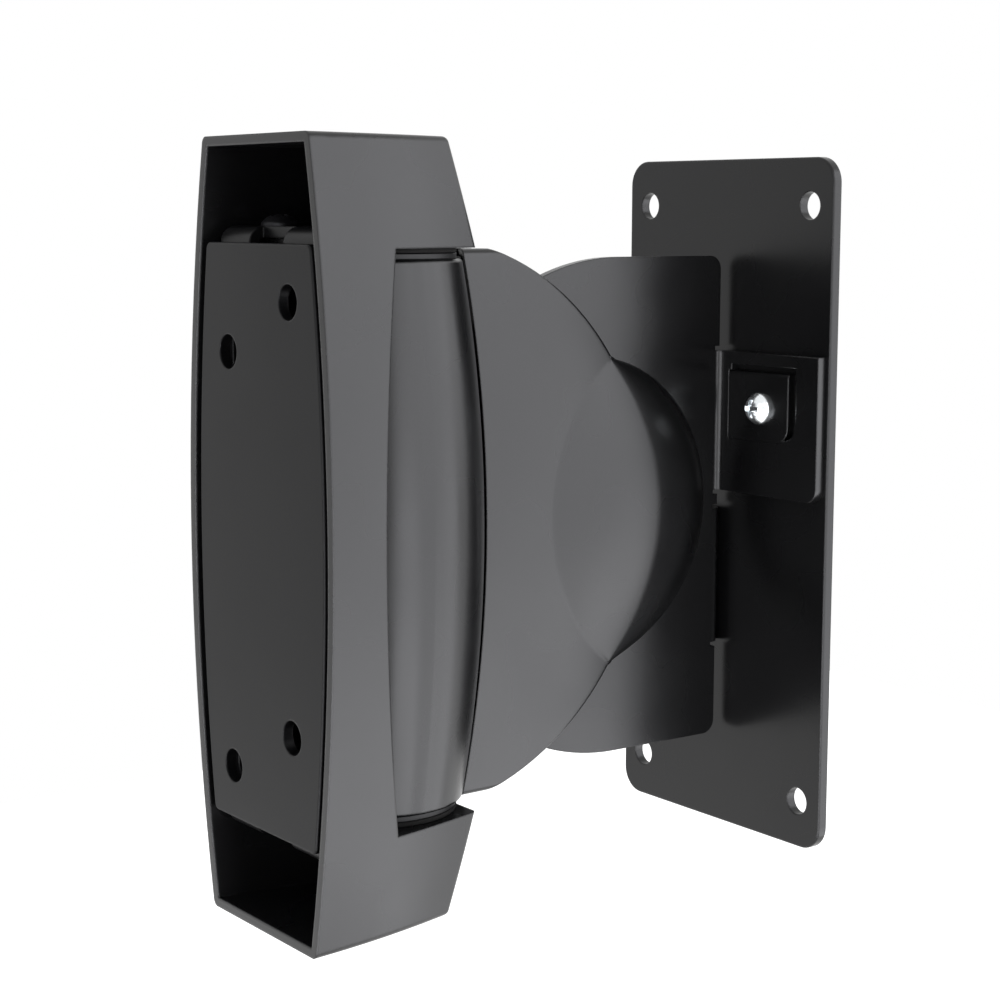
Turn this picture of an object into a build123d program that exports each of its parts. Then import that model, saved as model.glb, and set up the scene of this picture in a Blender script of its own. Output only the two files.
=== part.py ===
from build123d import *
from math import atan2, cos, pi, sin
import os

# Speaker wall bracket, in millimetres.
# The wall plate's back face lies on Y = 0 and its centre is the origin.
# The bracket reaches out along -Y, +X is to the right seen from the room, and +Z is up.

# Wall plate
PLATE_WIDTH = 66.2
PLATE_HEIGHT = 150.0
PLATE_SHEET = 2.2
PLATE_CORNER = 5.5
WALL_HOLE_RADIUS = 3.0
WALL_HOLE_SIDE_INSET = 6.95
WALL_HOLE_END_INSET = 10.2

# Height of the arm, which the leaf, the barrel and the casing's notch follow
ARM_HALF_HEIGHT = 55.4
LEAF_BELOW_ARM_TOP = 1.5
NOTCH_ABOVE_ARM_TOP = 1.0

# Leaf, one folded sheet that stands out from the wall plate
LEAF_SHEET = 2.2
LEAF_REAR_STANDOFF = 2.4
LEAF_REAR_CORNER = 3.0
LEAF_FRONT_REACH = 58.0
LEAF_ARC_REACH = 34.0
LEAF_BEND_RADIUS = 1.5
BEND_RELIEF = 1.0
FLANGE_INSET = 1.1
FLANGE_CORNER = 3.0
UPPER_FLANGE_BOTTOM = 1.8
UPPER_FLANGE_TOP = 33.0
LOWER_FLANGE_BOTTOM = -33.0
LOWER_FLANGE_TOP = -2.5

# Catch that locks the leaf to the wall plate, standing in a window of the upper flange
CATCH_LEFT = 5.0
CATCH_RIGHT = 23.0
CATCH_BOTTOM = 14.6
CATCH_TOP = 28.9
CATCH_CORNER = 3.5
CATCH_TOP_SLIT = 1.4
CATCH_SIDE_SLIT = 2.4
CATCH_LIP = 0.8
CATCH_LIP_THICKNESS = 0.9
CATCH_TOP_ROUND = 0.8
LOCK_SCREW_X = 14.3
LOCK_SCREW_Z = 21.0
LOCK_SCREW_RADIUS = 2.0
LOCK_HEAD_RADIUS = 3.6
LOCK_HEAD_HEIGHT = 3.2
RECESS_WIDTH = 1.1
RECESS_DEPTH = 1.3

# Tilt pivot, a bolt along X through the leaf
TILT_Y = -40.0
TILT_BOLT_RADIUS = 4.0
TILT_HEAD_ACROSS_FLATS = 13.0
TILT_HEAD_HEIGHT = 4.8
TILT_NUT_HEIGHT = 3.8
TILT_SPRING_RADIUS = 8.0
TILT_SPRING_SHEET = 0.8
TILT_SPRING_CONE = 0.3
TILT_BUSH_WALL = 2.0
TILT_DISC_RADIUS = 14.0
TILT_DISC_THICKNESS = 0.5

# Knuckle, the barrel and its fork, one casting
BARREL_END_RADIUS = 17.7
BARREL_BULGE = 4.5
BARREL_SPEAKER_GAP = 1.5
BARREL_EDGE_ROUND = 0.8
FORK_CHEEK = 2.0
FORK_PIVOT_RADIUS = 17.0
FORK_BELOW_ARM_TOP = 13.4
FORK_ROOT_OVERLAP = 2.3

# Arm shells, which cover the fork and the tilt bolt on both sides
SHELL_WALL = 1.6
SHELL_RIM_X = 5.8
SHELL_EDGE_ROUND = 1.9
WING_SETBACK = 8.3
WING_BEYOND_ARM_TOP = 3.0
WING_APEX_X = 10.3
DOME_RADIUS = 32.2
DOME_RISE = 9.2
DOME_SHOULDER = 5.0
SHELL_BARREL_GAP = 0.8
SHELL_SCREW_RADIUS = 1.5
SHELL_SCREW_HEAD_RADIUS = 2.9
SHELL_SCREW_REACH = 3.4
SHELL_BOSS_RADIUS = 3.4
SHELL_SCREW_OUTER_Y = -68.0
SHELL_SCREW_INNER_Y = -64.5
SHELL_SCREW_INSET = 12.0

# Swivel bolt, vertical, through the knuckle and the head
SWIVEL_BOLT_RADIUS = 4.0
SWIVEL_HEAD_ACROSS_FLATS = 13.0
SWIVEL_HEAD_HEIGHT = 5.3
SWIVEL_NUT_HEIGHT = 6.8
SWIVEL_BOLT_PAST_NUT = 1.2
SWIVEL_WASHER_RADIUS = 8.0
SWIVEL_WASHER_THICKNESS = 1.6
SWIVEL_SPRING_SHEET = 0.8
SWIVEL_SPRING_CONE = 0.4
SWIVEL_BUSH_WALL = 2.0
SWIVEL_BUSH_LENGTH = 14.0
SWIVEL_BUSH_FLANGE_RADIUS = 11.0
SWIVEL_BUSH_FLANGE = 1.2

# Casing, an open-fronted shell that turns on the knuckle
CASING_FRONT_Y = -121.6
POCKET_HEIGHT = 21.25
CASING_HALF_WIDTH = 27.5
CASING_WALL = 1.9
CASING_SIDE_RADIUS = 411.0
CASING_FRONT_SLOPE = 0.089
CASING_PLAN_CURVE = 0.002776
CASING_REAR_TOP_Y = -86.3
CASING_REAR_NOTCH_Y = -81.0
CASING_EDGE_ROUND = 1.5
NOTCH_FRONT_END_Y = -103.5
NOTCH_FRONT_MIDDLE_Y = -108.8
SHELF_THICKNESS = 1.8
SHELF_FRONT_Y = -115.0

# Frame inside the casing, one folded sheet that holds the swivel bolt
FRAME_SHEET = 2.2
FRAME_SIDE_INSET = 9.7
FRAME_WINDOW_SIDE_INSET = 4.3
FRAME_WINDOW_END_INSET = 6.4
FRAME_WINDOW_CORNER = 4.0
FRAME_BEND_RADIUS = 1.0
FRAME_RELIEF_HALF_WIDTH = 6.5
FRAME_LUG_END_RADIUS = 10.0
FRAME_TAPER_Y = -106.0

# Speaker plate
SPEAKER_RECESS = 0.3
SPEAKER_SHEET = 2.2
SPEAKER_PAST_NOTCH = 0.9
SPEAKER_SIDE_GAP = 1.8
SPEAKER_CORNER = 1.5
SPEAKER_HOLE_RADIUS = 3.4
SPEAKER_HOLE_INSIDE_WINDOW = 2.0
SPEAKER_HOLE_END_INSET = 10.8
SPEAKER_HOLE_STAGGER = 10.3

# Screws that hold the casing's shelves to the frame
SHELF_SCREW_RADIUS = 2.0
SHELF_SCREW_HEAD_RADIUS = 3.8
SHELF_SCREW_HEAD_HEIGHT = 2.4
SHELF_SCREW_SIDE_INSET = 5.8
SHELF_SCREW_Y = -109.0

# Clearances
RUNNING_GAP = 0.05
FACE_GAP = 0.1
LEAF_GAP = 0.4
FIT_GAP = 0.05
HOLE_GAP = 0.3

# Places that follow from the sizes above
PLATE_FACE_Y = -PLATE_SHEET
FLANGE_FACE_Y = PLATE_FACE_Y - LEAF_SHEET
FLANGE_REACH = PLATE_WIDTH / 2 - FLANGE_INSET
LEAF_HALF_HEIGHT = ARM_HALF_HEIGHT - LEAF_BELOW_ARM_TOP
NOTCH_HALF_HEIGHT = ARM_HALF_HEIGHT + NOTCH_ABOVE_ARM_TOP
CASING_HALF_HEIGHT = NOTCH_HALF_HEIGHT + POCKET_HEIGHT
LEAF_HALF = LEAF_SHEET / 2
TILT_BUSH_RADIUS = TILT_BOLT_RADIUS + RUNNING_GAP + TILT_BUSH_WALL
FORK_INNER_X = LEAF_HALF + TILT_DISC_THICKNESS + FACE_GAP
FORK_OUTER_X = FORK_INNER_X + FORK_CHEEK
SHELL_INNER_X = LEAF_HALF + LEAF_GAP
DOME_APEX_X = SHELL_INNER_X + DOME_RISE
WING_RADIUS = ARM_HALF_HEIGHT + WING_BEYOND_ARM_TOP
BARREL_HALF_HEIGHT = ARM_HALF_HEIGHT - SWIVEL_BUSH_FLANGE
BARREL_MIDDLE_RADIUS = BARREL_END_RADIUS + BARREL_BULGE
FORK_ROOT_HALF_HEIGHT = ARM_HALF_HEIGHT - FORK_BELOW_ARM_TOP
SWIVEL_BUSH_RADIUS = SWIVEL_BOLT_RADIUS + RUNNING_GAP + SWIVEL_BUSH_WALL
BARREL_BORE_RADIUS = SWIVEL_BOLT_RADIUS + HOLE_GAP
SHELF_TOP_Z = NOTCH_HALF_HEIGHT + SHELF_THICKNESS
LUG_TOP_Z = SHELF_TOP_Z + FRAME_SHEET
SPEAKER_FACE_Y = CASING_FRONT_Y + SPEAKER_RECESS
SPEAKER_BACK_Y = SPEAKER_FACE_Y + SPEAKER_SHEET
FRAME_BACK_Y = SPEAKER_BACK_Y + FRAME_SHEET
SWIVEL_Y = SPEAKER_BACK_Y + BARREL_SPEAKER_GAP + BARREL_MIDDLE_RADIUS
WING_Y = SWIVEL_Y + WING_SETBACK
FORK_ROOT_Y = SWIVEL_Y + BARREL_END_RADIUS - FORK_ROOT_OVERLAP
FRAME_HALF_WIDTH = CASING_HALF_WIDTH - FRAME_SIDE_INSET
FRAME_WINDOW_HALF_WIDTH = FRAME_HALF_WIDTH - FRAME_WINDOW_SIDE_INSET
FRAME_WINDOW_HALF_HEIGHT = NOTCH_HALF_HEIGHT - FRAME_WINDOW_END_INSET
SHELF_SCREW_X = FRAME_HALF_WIDTH - SHELF_SCREW_SIDE_INSET
SPEAKER_HALF_HEIGHT = NOTCH_HALF_HEIGHT + SPEAKER_PAST_NOTCH
SPEAKER_HOLE_X = FRAME_WINDOW_HALF_WIDTH - SPEAKER_HOLE_INSIDE_WINDOW
SPEAKER_HOLE_FAR_Z = SPEAKER_HALF_HEIGHT - SPEAKER_HOLE_END_INSET
SPEAKER_HOLE_NEAR_Z = SPEAKER_HOLE_FAR_Z - SPEAKER_HOLE_STAGGER
SIDE_CENTRE_X = CASING_HALF_WIDTH - CASING_SIDE_RADIUS


def on_x(sketch, x_from, x_to, y=0.0, z=0.0):
    """Extrude a sketch, drawn in Y and Z, from one X to another."""
    return extrude(Plane.YZ.offset(x_from) * Pos(y, z) * sketch, x_to - x_from)


def on_y(sketch, y_from, y_to, x=0.0, z=0.0):
    """Extrude a sketch, drawn in X and Z, forward from y_from to y_to."""
    return extrude(Plane.XZ.offset(-y_from) * Pos(x, z) * sketch, y_from - y_to)


def on_z(sketch, z_from, z_to, x=0.0, y=0.0):
    """Extrude a sketch, drawn in X and Y, from one Z to another."""
    return extrude(Plane.XY.offset(z_from) * Pos(x, y) * sketch, z_to - z_from)


def box_between(x0, x1, y0, y1, z0, z1):
    """A box given by its six faces."""
    return Pos((x0 + x1) / 2, (y0 + y1) / 2, (z0 + z1) / 2) * Box(x1 - x0, y1 - y0, z1 - z0)


def one(shape):
    """The single solid of a shape."""
    solids = shape.solids()
    if len(solids) != 1:
        raise ValueError(f"expected one solid, got {len(solids)}")
    return solids[0]


def hexagon(across_flats):
    return RegularPolygon(across_flats / 2, 6, major_radius=False)


def wall_hole_places():
    half_x = PLATE_WIDTH / 2 - WALL_HOLE_SIDE_INSET
    half_z = PLATE_HEIGHT / 2 - WALL_HOLE_END_INSET
    return [(x, z) for x in (-half_x, half_x) for z in (-half_z, half_z)]


def make_wall_plate():
    """Flat plate with four wall screw holes and a tapped hole for the catch's screw."""
    plate = on_y(RectangleRounded(PLATE_WIDTH, PLATE_HEIGHT, PLATE_CORNER), 0, PLATE_FACE_Y)
    for x, z in wall_hole_places():
        plate -= on_y(Circle(WALL_HOLE_RADIUS), 1, PLATE_FACE_Y - 1, x, z)
    plate -= on_y(Circle(LOCK_SCREW_RADIUS + FIT_GAP), 1, PLATE_FACE_Y - 1, LOCK_SCREW_X, LOCK_SCREW_Z)
    edges = plate.faces().filter_by(Axis.Y).sort_by(Axis.Y)[0].outer_wire().edges()
    return one(fillet(edges, 0.4))


def leaf_outline():
    """Side view of the leaf: straight at the top and bottom, round towards the front."""
    rear = PLATE_FACE_Y - LEAF_REAR_STANDOFF
    disc = Pos(-LEAF_ARC_REACH, 0) * Circle(LEAF_HALF_HEIGHT)
    length = LEAF_ARC_REACH + rear
    straight = Pos(rear - length / 2, 0) * Rectangle(length, 2 * LEAF_HALF_HEIGHT)
    span = LEAF_FRONT_REACH + rear
    keep = Pos(rear - span / 2, 0) * Rectangle(span, 2 * LEAF_HALF_HEIGHT)
    outline = (disc + straight) & keep
    return fillet(outline.vertices().sort_by(Axis.X)[-2:], LEAF_REAR_CORNER)


def make_flange(side, z_bottom, z_top):
    """One flange, bent from the leaf to side +X (1) or -X (-1) and lying on the wall plate."""
    outer = LEAF_BEND_RADIUS + LEAF_SHEET
    bend_end_x = outer - LEAF_HALF
    bend_end_y = PLATE_FACE_Y - outer
    strip = box_between(bend_end_x, FLANGE_REACH, FLANGE_FACE_Y, PLATE_FACE_Y, z_bottom, z_top)
    corner = strip.edges().filter_by(Axis.Y).group_by(Axis.X)[-1].sort_by(Axis.Z)[0]
    strip = fillet(corner, FLANGE_CORNER)
    quarter = Circle(outer) - Circle(LEAF_BEND_RADIUS)
    quarter &= Pos(-outer / 2, outer / 2) * Rectangle(outer, outer)
    bend = on_z(quarter, z_bottom, z_top, bend_end_x, bend_end_y)
    flange = strip + bend
    return flange if side > 0 else flange.mirror(Plane.YZ)


def make_leaf_bracket():
    """Leaf with one flange bent to the right above and one to the left below."""
    leaf = on_x(leaf_outline(), -LEAF_HALF, LEAF_HALF)
    bend_y = PLATE_FACE_Y - LEAF_BEND_RADIUS - LEAF_SHEET
    for side, bottom, top in ((1, UPPER_FLANGE_BOTTOM, UPPER_FLANGE_TOP), (-1, LOWER_FLANGE_BOTTOM, LOWER_FLANGE_TOP)):
        relief_bottom = bottom - BEND_RELIEF
        relief_top = top + BEND_RELIEF
        leaf -= box_between(-LEAF_SHEET, LEAF_SHEET, bend_y, 0, relief_bottom, relief_top)
        leaf += make_flange(side, bottom, top)
    leaf -= on_y(catch_outline(FIT_GAP, CATCH_SIDE_SLIT, FIT_GAP, CATCH_TOP_SLIT), 0, FLANGE_FACE_Y - 1)
    rebate = catch_outline(CATCH_LIP + FIT_GAP, 0, CATCH_LIP + FIT_GAP, 0)
    leaf -= on_y(rebate, FLANGE_FACE_Y + CATCH_LIP_THICKNESS, FLANGE_FACE_Y - 1)
    leaf -= on_x(Circle(TILT_BUSH_RADIUS), -LEAF_SHEET, LEAF_SHEET, TILT_Y)
    return one(leaf)


def catch_outline(grow_left, grow_right, grow_bottom, grow_top):
    """The catch's front view, with each side moved out by its own amount."""
    left = CATCH_LEFT - grow_left
    right = CATCH_RIGHT + grow_right
    bottom = CATCH_BOTTOM - grow_bottom
    top = CATCH_TOP + grow_top
    outline = Pos((left + right) / 2, (bottom + top) / 2) * Rectangle(right - left, top - bottom)
    lower_right = outline.vertices().group_by(Axis.X)[-1].sort_by(Axis.Y)[0]
    return fillet(lower_right, CATCH_CORNER)


def make_lock_catch():
    """Pad flush with the flange, its thin lip sunk into the window's left and lower edges."""
    pad = on_y(catch_outline(0, 0, 0, 0), PLATE_FACE_Y, FLANGE_FACE_Y)
    lip = catch_outline(CATCH_LIP, 0, CATCH_LIP, 0)
    pad += on_y(lip, FLANGE_FACE_Y + CATCH_LIP_THICKNESS, FLANGE_FACE_Y)
    pad -= on_y(Circle(LOCK_SCREW_RADIUS + HOLE_GAP), 0, FLANGE_FACE_Y - 1, LOCK_SCREW_X, LOCK_SCREW_Z)
    top_edge = pad.edges().filter_by(Axis.X).group_by(Axis.Z)[-1].sort_by(Axis.Y)[0]
    return one(fillet(top_edge, CATCH_TOP_ROUND))


def pan_head(radius, height):
    """Pan head on its seat at Z = 0, domed towards +Z, with a cross recess."""
    head = Cylinder(radius, height, align=(Align.CENTER, Align.CENTER, Align.MIN))
    head = fillet(head.edges().group_by(Axis.Z)[-1], height * 0.45)
    slot = Box(radius * 1.1, RECESS_WIDTH, RECESS_DEPTH * 2)
    head -= Pos(0, 0, height) * slot
    head -= Pos(0, 0, height) * Rot(0, 0, 90) * slot
    return head


def make_lock_screw():
    """Cross-head machine screw through the catch into the wall plate."""
    seat = Pos(LOCK_SCREW_X, FLANGE_FACE_Y, LOCK_SCREW_Z)
    head = seat * Rot(90, 0, 0) * pan_head(LOCK_HEAD_RADIUS, LOCK_HEAD_HEIGHT)
    shank = on_y(Circle(LOCK_SCREW_RADIUS), -0.2, FLANGE_FACE_Y, LOCK_SCREW_X, LOCK_SCREW_Z)
    return one(head + shank)


def make_tilt_bush():
    """Plain bush pressed into the leaf."""
    ring = Circle(TILT_BUSH_RADIUS) - Circle(TILT_BOLT_RADIUS + RUNNING_GAP)
    return one(on_x(ring, -LEAF_HALF, LEAF_HALF, TILT_Y))


def make_tilt_discs():
    """Friction discs on both faces of the leaf."""
    ring = Circle(TILT_DISC_RADIUS) - Circle(TILT_BOLT_RADIUS + HOLE_GAP)
    disc = on_x(ring, LEAF_HALF, LEAF_HALF + TILT_DISC_THICKNESS, TILT_Y)
    return Compound([one(disc), one(disc.mirror(Plane.YZ))])


def barrel_solid(grow):
    """The knuckle's barrel about the swivel axis, larger by grow all round its side."""
    middle = BARREL_MIDDLE_RADIUS + grow
    end = BARREL_END_RADIUS + grow
    top = (end, BARREL_HALF_HEIGHT)
    bottom = (end, -BARREL_HALF_HEIGHT)
    side = ThreePointArc(top, (middle, 0), bottom)
    rest = Polyline(bottom, (0, -BARREL_HALF_HEIGHT), (0, BARREL_HALF_HEIGHT), top)
    face = make_face(Plane.XZ * (Curve() + [side, rest]))
    return Pos(0, SWIVEL_Y, 0) * revolve(face, Axis.Z)


def fork_outline():
    """Side view of a fork cheek: a web from the barrel that narrows to the pivot eye."""
    eye = Pos(TILT_Y, 0) * Circle(FORK_PIVOT_RADIUS)
    root = Polyline(
        (FORK_ROOT_Y, FORK_ROOT_HALF_HEIGHT),
        (TILT_Y - FORK_PIVOT_RADIUS, FORK_ROOT_HALF_HEIGHT * 0.75),
        (TILT_Y, FORK_PIVOT_RADIUS),
        (TILT_Y, -FORK_PIVOT_RADIUS),
        (TILT_Y - FORK_PIVOT_RADIUS, -FORK_ROOT_HALF_HEIGHT * 0.75),
        (FORK_ROOT_Y, -FORK_ROOT_HALF_HEIGHT),
        close=True,
    )
    return eye + make_face(root)


def shell_screw_places():
    """Y and Z of the three screws that hold a shell to its fork cheek."""
    far = FORK_ROOT_HALF_HEIGHT - SHELL_SCREW_INSET
    return [(SHELL_SCREW_OUTER_Y, far), (SHELL_SCREW_OUTER_Y, -far), (SHELL_SCREW_INNER_Y, 0)]


def make_knuckle():
    """Barrel with a stepped bore and two fork cheeks, one casting."""
    barrel = barrel_solid(0)
    rims = barrel.edges().filter_by(GeomType.CIRCLE).sort_by(Axis.Z)
    body = fillet([rims[0], rims[-1]], BARREL_EDGE_ROUND)
    cheek = on_x(fork_outline(), FORK_INNER_X, FORK_OUTER_X)
    cheek -= on_x(Circle(TILT_BOLT_RADIUS + FIT_GAP), 0, FORK_OUTER_X + 1, TILT_Y)
    for y, z in shell_screw_places():
        cheek -= on_x(Circle(SHELL_SCREW_RADIUS + HOLE_GAP), 0, FORK_OUTER_X + 1, y, z)
        cheek -= countersink(y, z, FIT_GAP)
    body += cheek
    body += cheek.mirror(Plane.YZ)
    half = BARREL_HALF_HEIGHT
    body -= on_z(Circle(BARREL_BORE_RADIUS), -half - 1, half + 1, 0, SWIVEL_Y)
    seat = Circle(SWIVEL_BUSH_RADIUS)
    body -= on_z(seat, half - SWIVEL_BUSH_LENGTH, half + 1, 0, SWIVEL_Y)
    body -= on_z(seat, -half - 1, -half + SWIVEL_BUSH_LENGTH, 0, SWIVEL_Y)
    return one(body)


def countersink(y, z, grow):
    """Conical head of a shell screw, flush with the fork's inner face."""
    depth = SHELL_SCREW_HEAD_RADIUS - SHELL_SCREW_RADIUS
    cone = Cone(SHELL_SCREW_HEAD_RADIUS + grow, SHELL_SCREW_RADIUS + grow, depth)
    return Pos(FORK_INNER_X + depth / 2, y, z) * Rot(0, 90, 0) * cone


def wing_solid(inset):
    """Front part of a shell: a shallow sphere over a disc that is cut flat above and below."""
    radius = WING_RADIUS - inset
    half = ARM_HALF_HEIGHT - inset
    base_x = SHELL_INNER_X if inset == 0 else 0
    rim_drop = WING_APEX_X - SHELL_RIM_X
    sphere_radius = (WING_RADIUS ** 2 + rim_drop ** 2) / (2 * rim_drop)
    outline = Circle(radius) & Rectangle(2 * radius, 2 * half)
    cap = Pos(WING_APEX_X - sphere_radius, WING_Y, 0) * Sphere(sphere_radius - inset)
    return on_x(outline, base_x, WING_APEX_X + 1, WING_Y) & cap


def dome_solid(inset):
    """Rear part of a shell: a shallow cap over the tilt bolt with a rounded shoulder."""
    radius = DOME_RADIUS - inset
    rise = DOME_RISE - inset
    shoulder = DOME_SHOULDER - inset
    turn = 2 * atan2(rise - shoulder, radius - shoulder)
    crown = shoulder + (radius - shoulder) / sin(turn)
    base_x = SHELL_INNER_X
    apex = (base_x + rise, 0)
    half_crown = (apex[0] - crown * (1 - cos(turn / 2)), crown * sin(turn / 2))
    join = (base_x + shoulder * cos(turn), radius - shoulder + shoulder * sin(turn))
    middle = (turn + pi / 2) / 2
    half_shoulder = (base_x + shoulder * cos(middle), radius - shoulder + shoulder * sin(middle))
    rim = (base_x, radius)
    foot_x = 0 if inset else base_x
    foot = [rim, (foot_x, radius), (foot_x, 0), apex] if inset else [rim, (foot_x, 0), apex]
    curve = Curve() + [ThreePointArc(apex, half_crown, join), ThreePointArc(join, half_shoulder, rim), Polyline(*foot)]
    return Pos(0, TILT_Y, 0) * revolve(make_face(curve), Axis.X)


def rim_edges(solid):
    """Outer edges of a shell part where its crown meets its side wall."""
    return [edge for edge in solid.edges() if edge.center().X > SHELL_INNER_X + 0.2 and edge.length > 1]


def make_arm_shell():
    """Right-hand shell: a wing and a dome with one wall, open towards the leaf and the barrel."""
    wing = wing_solid(0)
    wing = fillet(rim_edges(wing), SHELL_EDGE_ROUND)
    dome = dome_solid(0)
    outer = wing + dome
    inner = wing_solid(SHELL_WALL) + dome_solid(SHELL_WALL)
    shell = outer - inner
    boss_length = SHELL_SCREW_REACH + FORK_CHEEK
    for y, z in shell_screw_places():
        shell += on_x(Circle(SHELL_BOSS_RADIUS), FORK_OUTER_X, DOME_APEX_X, y, z) & outer
    for y, z in shell_screw_places():
        shell -= on_x(Circle(SHELL_SCREW_RADIUS + FIT_GAP), 0, FORK_INNER_X + boss_length, y, z)
    shell -= barrel_solid(SHELL_BARREL_GAP)
    shell -= box_between(-1, DOME_APEX_X + 1, WING_Y - WING_RADIUS, SWIVEL_Y, -ARM_HALF_HEIGHT - 1, ARM_HALF_HEIGHT + 1)
    end_plane = SWIVEL_Y + BARREL_END_RADIUS + SHELL_BARREL_GAP
    for side in (-1, 1):
        z0, z1 = sorted((side * BARREL_HALF_HEIGHT, side * (ARM_HALF_HEIGHT + 1)))
        shell -= box_between(-1, DOME_APEX_X + 1, SWIVEL_Y - 1, end_plane, z0, z1)
    return max(shell.solids(), key=lambda solid: solid.volume)


def make_shell_screws(side):
    """Countersunk screws from inside the fork into the shell's bosses."""
    screws = []
    reach = FORK_INNER_X + FORK_CHEEK + SHELL_SCREW_REACH - 0.4
    for y, z in shell_screw_places():
        shank = on_x(Circle(SHELL_SCREW_RADIUS), FORK_INNER_X, reach, y, z)
        screw = one(countersink(y, z, 0) + shank)
        screws.append(screw if side > 0 else screw.mirror(Plane.YZ))
    return Compound(screws)


def make_tilt_bolt():
    """Hexagon bolt along X with its head under the right shell."""
    head = on_x(hexagon(TILT_HEAD_ACROSS_FLATS), FORK_OUTER_X, FORK_OUTER_X + TILT_HEAD_HEIGHT, TILT_Y)
    nut_end = FORK_OUTER_X + TILT_SPRING_SHEET + TILT_SPRING_CONE + TILT_NUT_HEIGHT
    shank = on_x(Circle(TILT_BOLT_RADIUS), -nut_end, FORK_OUTER_X, TILT_Y)
    return one(head + shank)


def spring_washer(hole, radius, sheet, cone):
    """Conical spring washer on Z = 0, its rim down and its bore up."""
    profile = Polyline((hole, cone), (hole, cone + sheet), (radius, sheet), (radius, 0), close=True)
    return revolve(make_face(Plane.XZ * profile), Axis.Z)


def make_tilt_spring():
    washer = spring_washer(TILT_BOLT_RADIUS + HOLE_GAP, TILT_SPRING_RADIUS, TILT_SPRING_SHEET, TILT_SPRING_CONE)
    return one(Pos(-FORK_OUTER_X, TILT_Y, 0) * Rot(0, -90, 0) * washer)


def make_tilt_nut():
    start = -FORK_OUTER_X - TILT_SPRING_SHEET - TILT_SPRING_CONE
    ring = hexagon(TILT_HEAD_ACROSS_FLATS) - Circle(TILT_BOLT_RADIUS + FIT_GAP)
    return one(on_x(ring, start - TILT_NUT_HEIGHT, start, TILT_Y))


def make_swivel_bush(side):
    """Flanged bush in the upper (1) or lower (-1) end of the barrel."""
    bore = Circle(SWIVEL_BOLT_RADIUS + RUNNING_GAP)
    end = BARREL_HALF_HEIGHT
    bush = on_z(Circle(SWIVEL_BUSH_RADIUS) - bore, end - SWIVEL_BUSH_LENGTH, end, 0, SWIVEL_Y)
    bush += on_z(Circle(SWIVEL_BUSH_FLANGE_RADIUS) - bore, end, end + SWIVEL_BUSH_FLANGE, 0, SWIVEL_Y)
    return one(bush if side > 0 else bush.mirror(Plane.XY))


def make_swivel_discs():
    """Friction discs between the bush flanges and the casing's shelves."""
    ring = Circle(SWIVEL_BUSH_FLANGE_RADIUS) - Circle(SWIVEL_BOLT_RADIUS + HOLE_GAP)
    bottom = BARREL_HALF_HEIGHT + SWIVEL_BUSH_FLANGE + FACE_GAP
    disc = on_z(ring, bottom, NOTCH_HALF_HEIGHT, 0, SWIVEL_Y)
    return Compound([one(disc), one(disc.mirror(Plane.XY))])


def make_swivel_bolt():
    """Hexagon bolt down the swivel axis, its head above the upper lug."""
    seat = LUG_TOP_Z + SWIVEL_WASHER_THICKNESS
    head = on_z(hexagon(SWIVEL_HEAD_ACROSS_FLATS), seat, seat + SWIVEL_HEAD_HEIGHT, 0, SWIVEL_Y)
    nut_end = LUG_TOP_Z + SWIVEL_WASHER_THICKNESS + SWIVEL_SPRING_SHEET + SWIVEL_SPRING_CONE + SWIVEL_NUT_HEIGHT
    shank = on_z(Circle(SWIVEL_BOLT_RADIUS), -nut_end - SWIVEL_BOLT_PAST_NUT, seat, 0, SWIVEL_Y)
    return one(head + shank)


def make_swivel_washers():
    """Flat washers on the outer faces of the two lugs."""
    ring = Circle(SWIVEL_WASHER_RADIUS) - Circle(SWIVEL_BOLT_RADIUS + HOLE_GAP)
    washer = on_z(ring, LUG_TOP_Z, LUG_TOP_Z + SWIVEL_WASHER_THICKNESS, 0, SWIVEL_Y)
    return Compound([one(washer), one(washer.mirror(Plane.XY))])


def make_swivel_spring():
    washer = spring_washer(SWIVEL_BOLT_RADIUS + HOLE_GAP, SWIVEL_WASHER_RADIUS, SWIVEL_SPRING_SHEET, SWIVEL_SPRING_CONE)
    return one(Pos(0, SWIVEL_Y, -LUG_TOP_Z - SWIVEL_WASHER_THICKNESS) * Rot(180, 0, 0) * washer)


def make_swivel_nut():
    start = -LUG_TOP_Z - SWIVEL_WASHER_THICKNESS - SWIVEL_SPRING_SHEET - SWIVEL_SPRING_CONE
    ring = hexagon(SWIVEL_HEAD_ACROSS_FLATS) - Circle(SWIVEL_BOLT_RADIUS + FIT_GAP)
    return one(on_z(ring, start - SWIVEL_NUT_HEIGHT, start, 0, SWIVEL_Y))


def side_narrowing(y):
    """How far the casing's side has moved in at a place behind its front rim."""
    back = y - CASING_FRONT_Y
    return CASING_FRONT_SLOPE * back + CASING_PLAN_CURVE * back ** 2


def casing_side(inset):
    """Everything inside the casing's right side surface, which is curved in plan and in height."""
    front = CASING_FRONT_Y - 10
    rear = CASING_REAR_NOTCH_Y + 10
    middle = (CASING_FRONT_Y + CASING_REAR_NOTCH_Y) / 2
    places = [(CASING_HALF_WIDTH - inset - side_narrowing(y), y) for y in (front, middle, rear)]
    curve = ThreePointArc(*places)
    rest = Polyline(places[2], (SIDE_CENTRE_X, rear), (SIDE_CENTRE_X, front), places[0])
    face = make_face(Curve() + [curve, rest])
    turned = revolve(face, Axis((SIDE_CENTRE_X, 0, 0), (0, 1, 0)), 360)
    return turned & box_between(-60, 60, front, rear, -100, 100)


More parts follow.
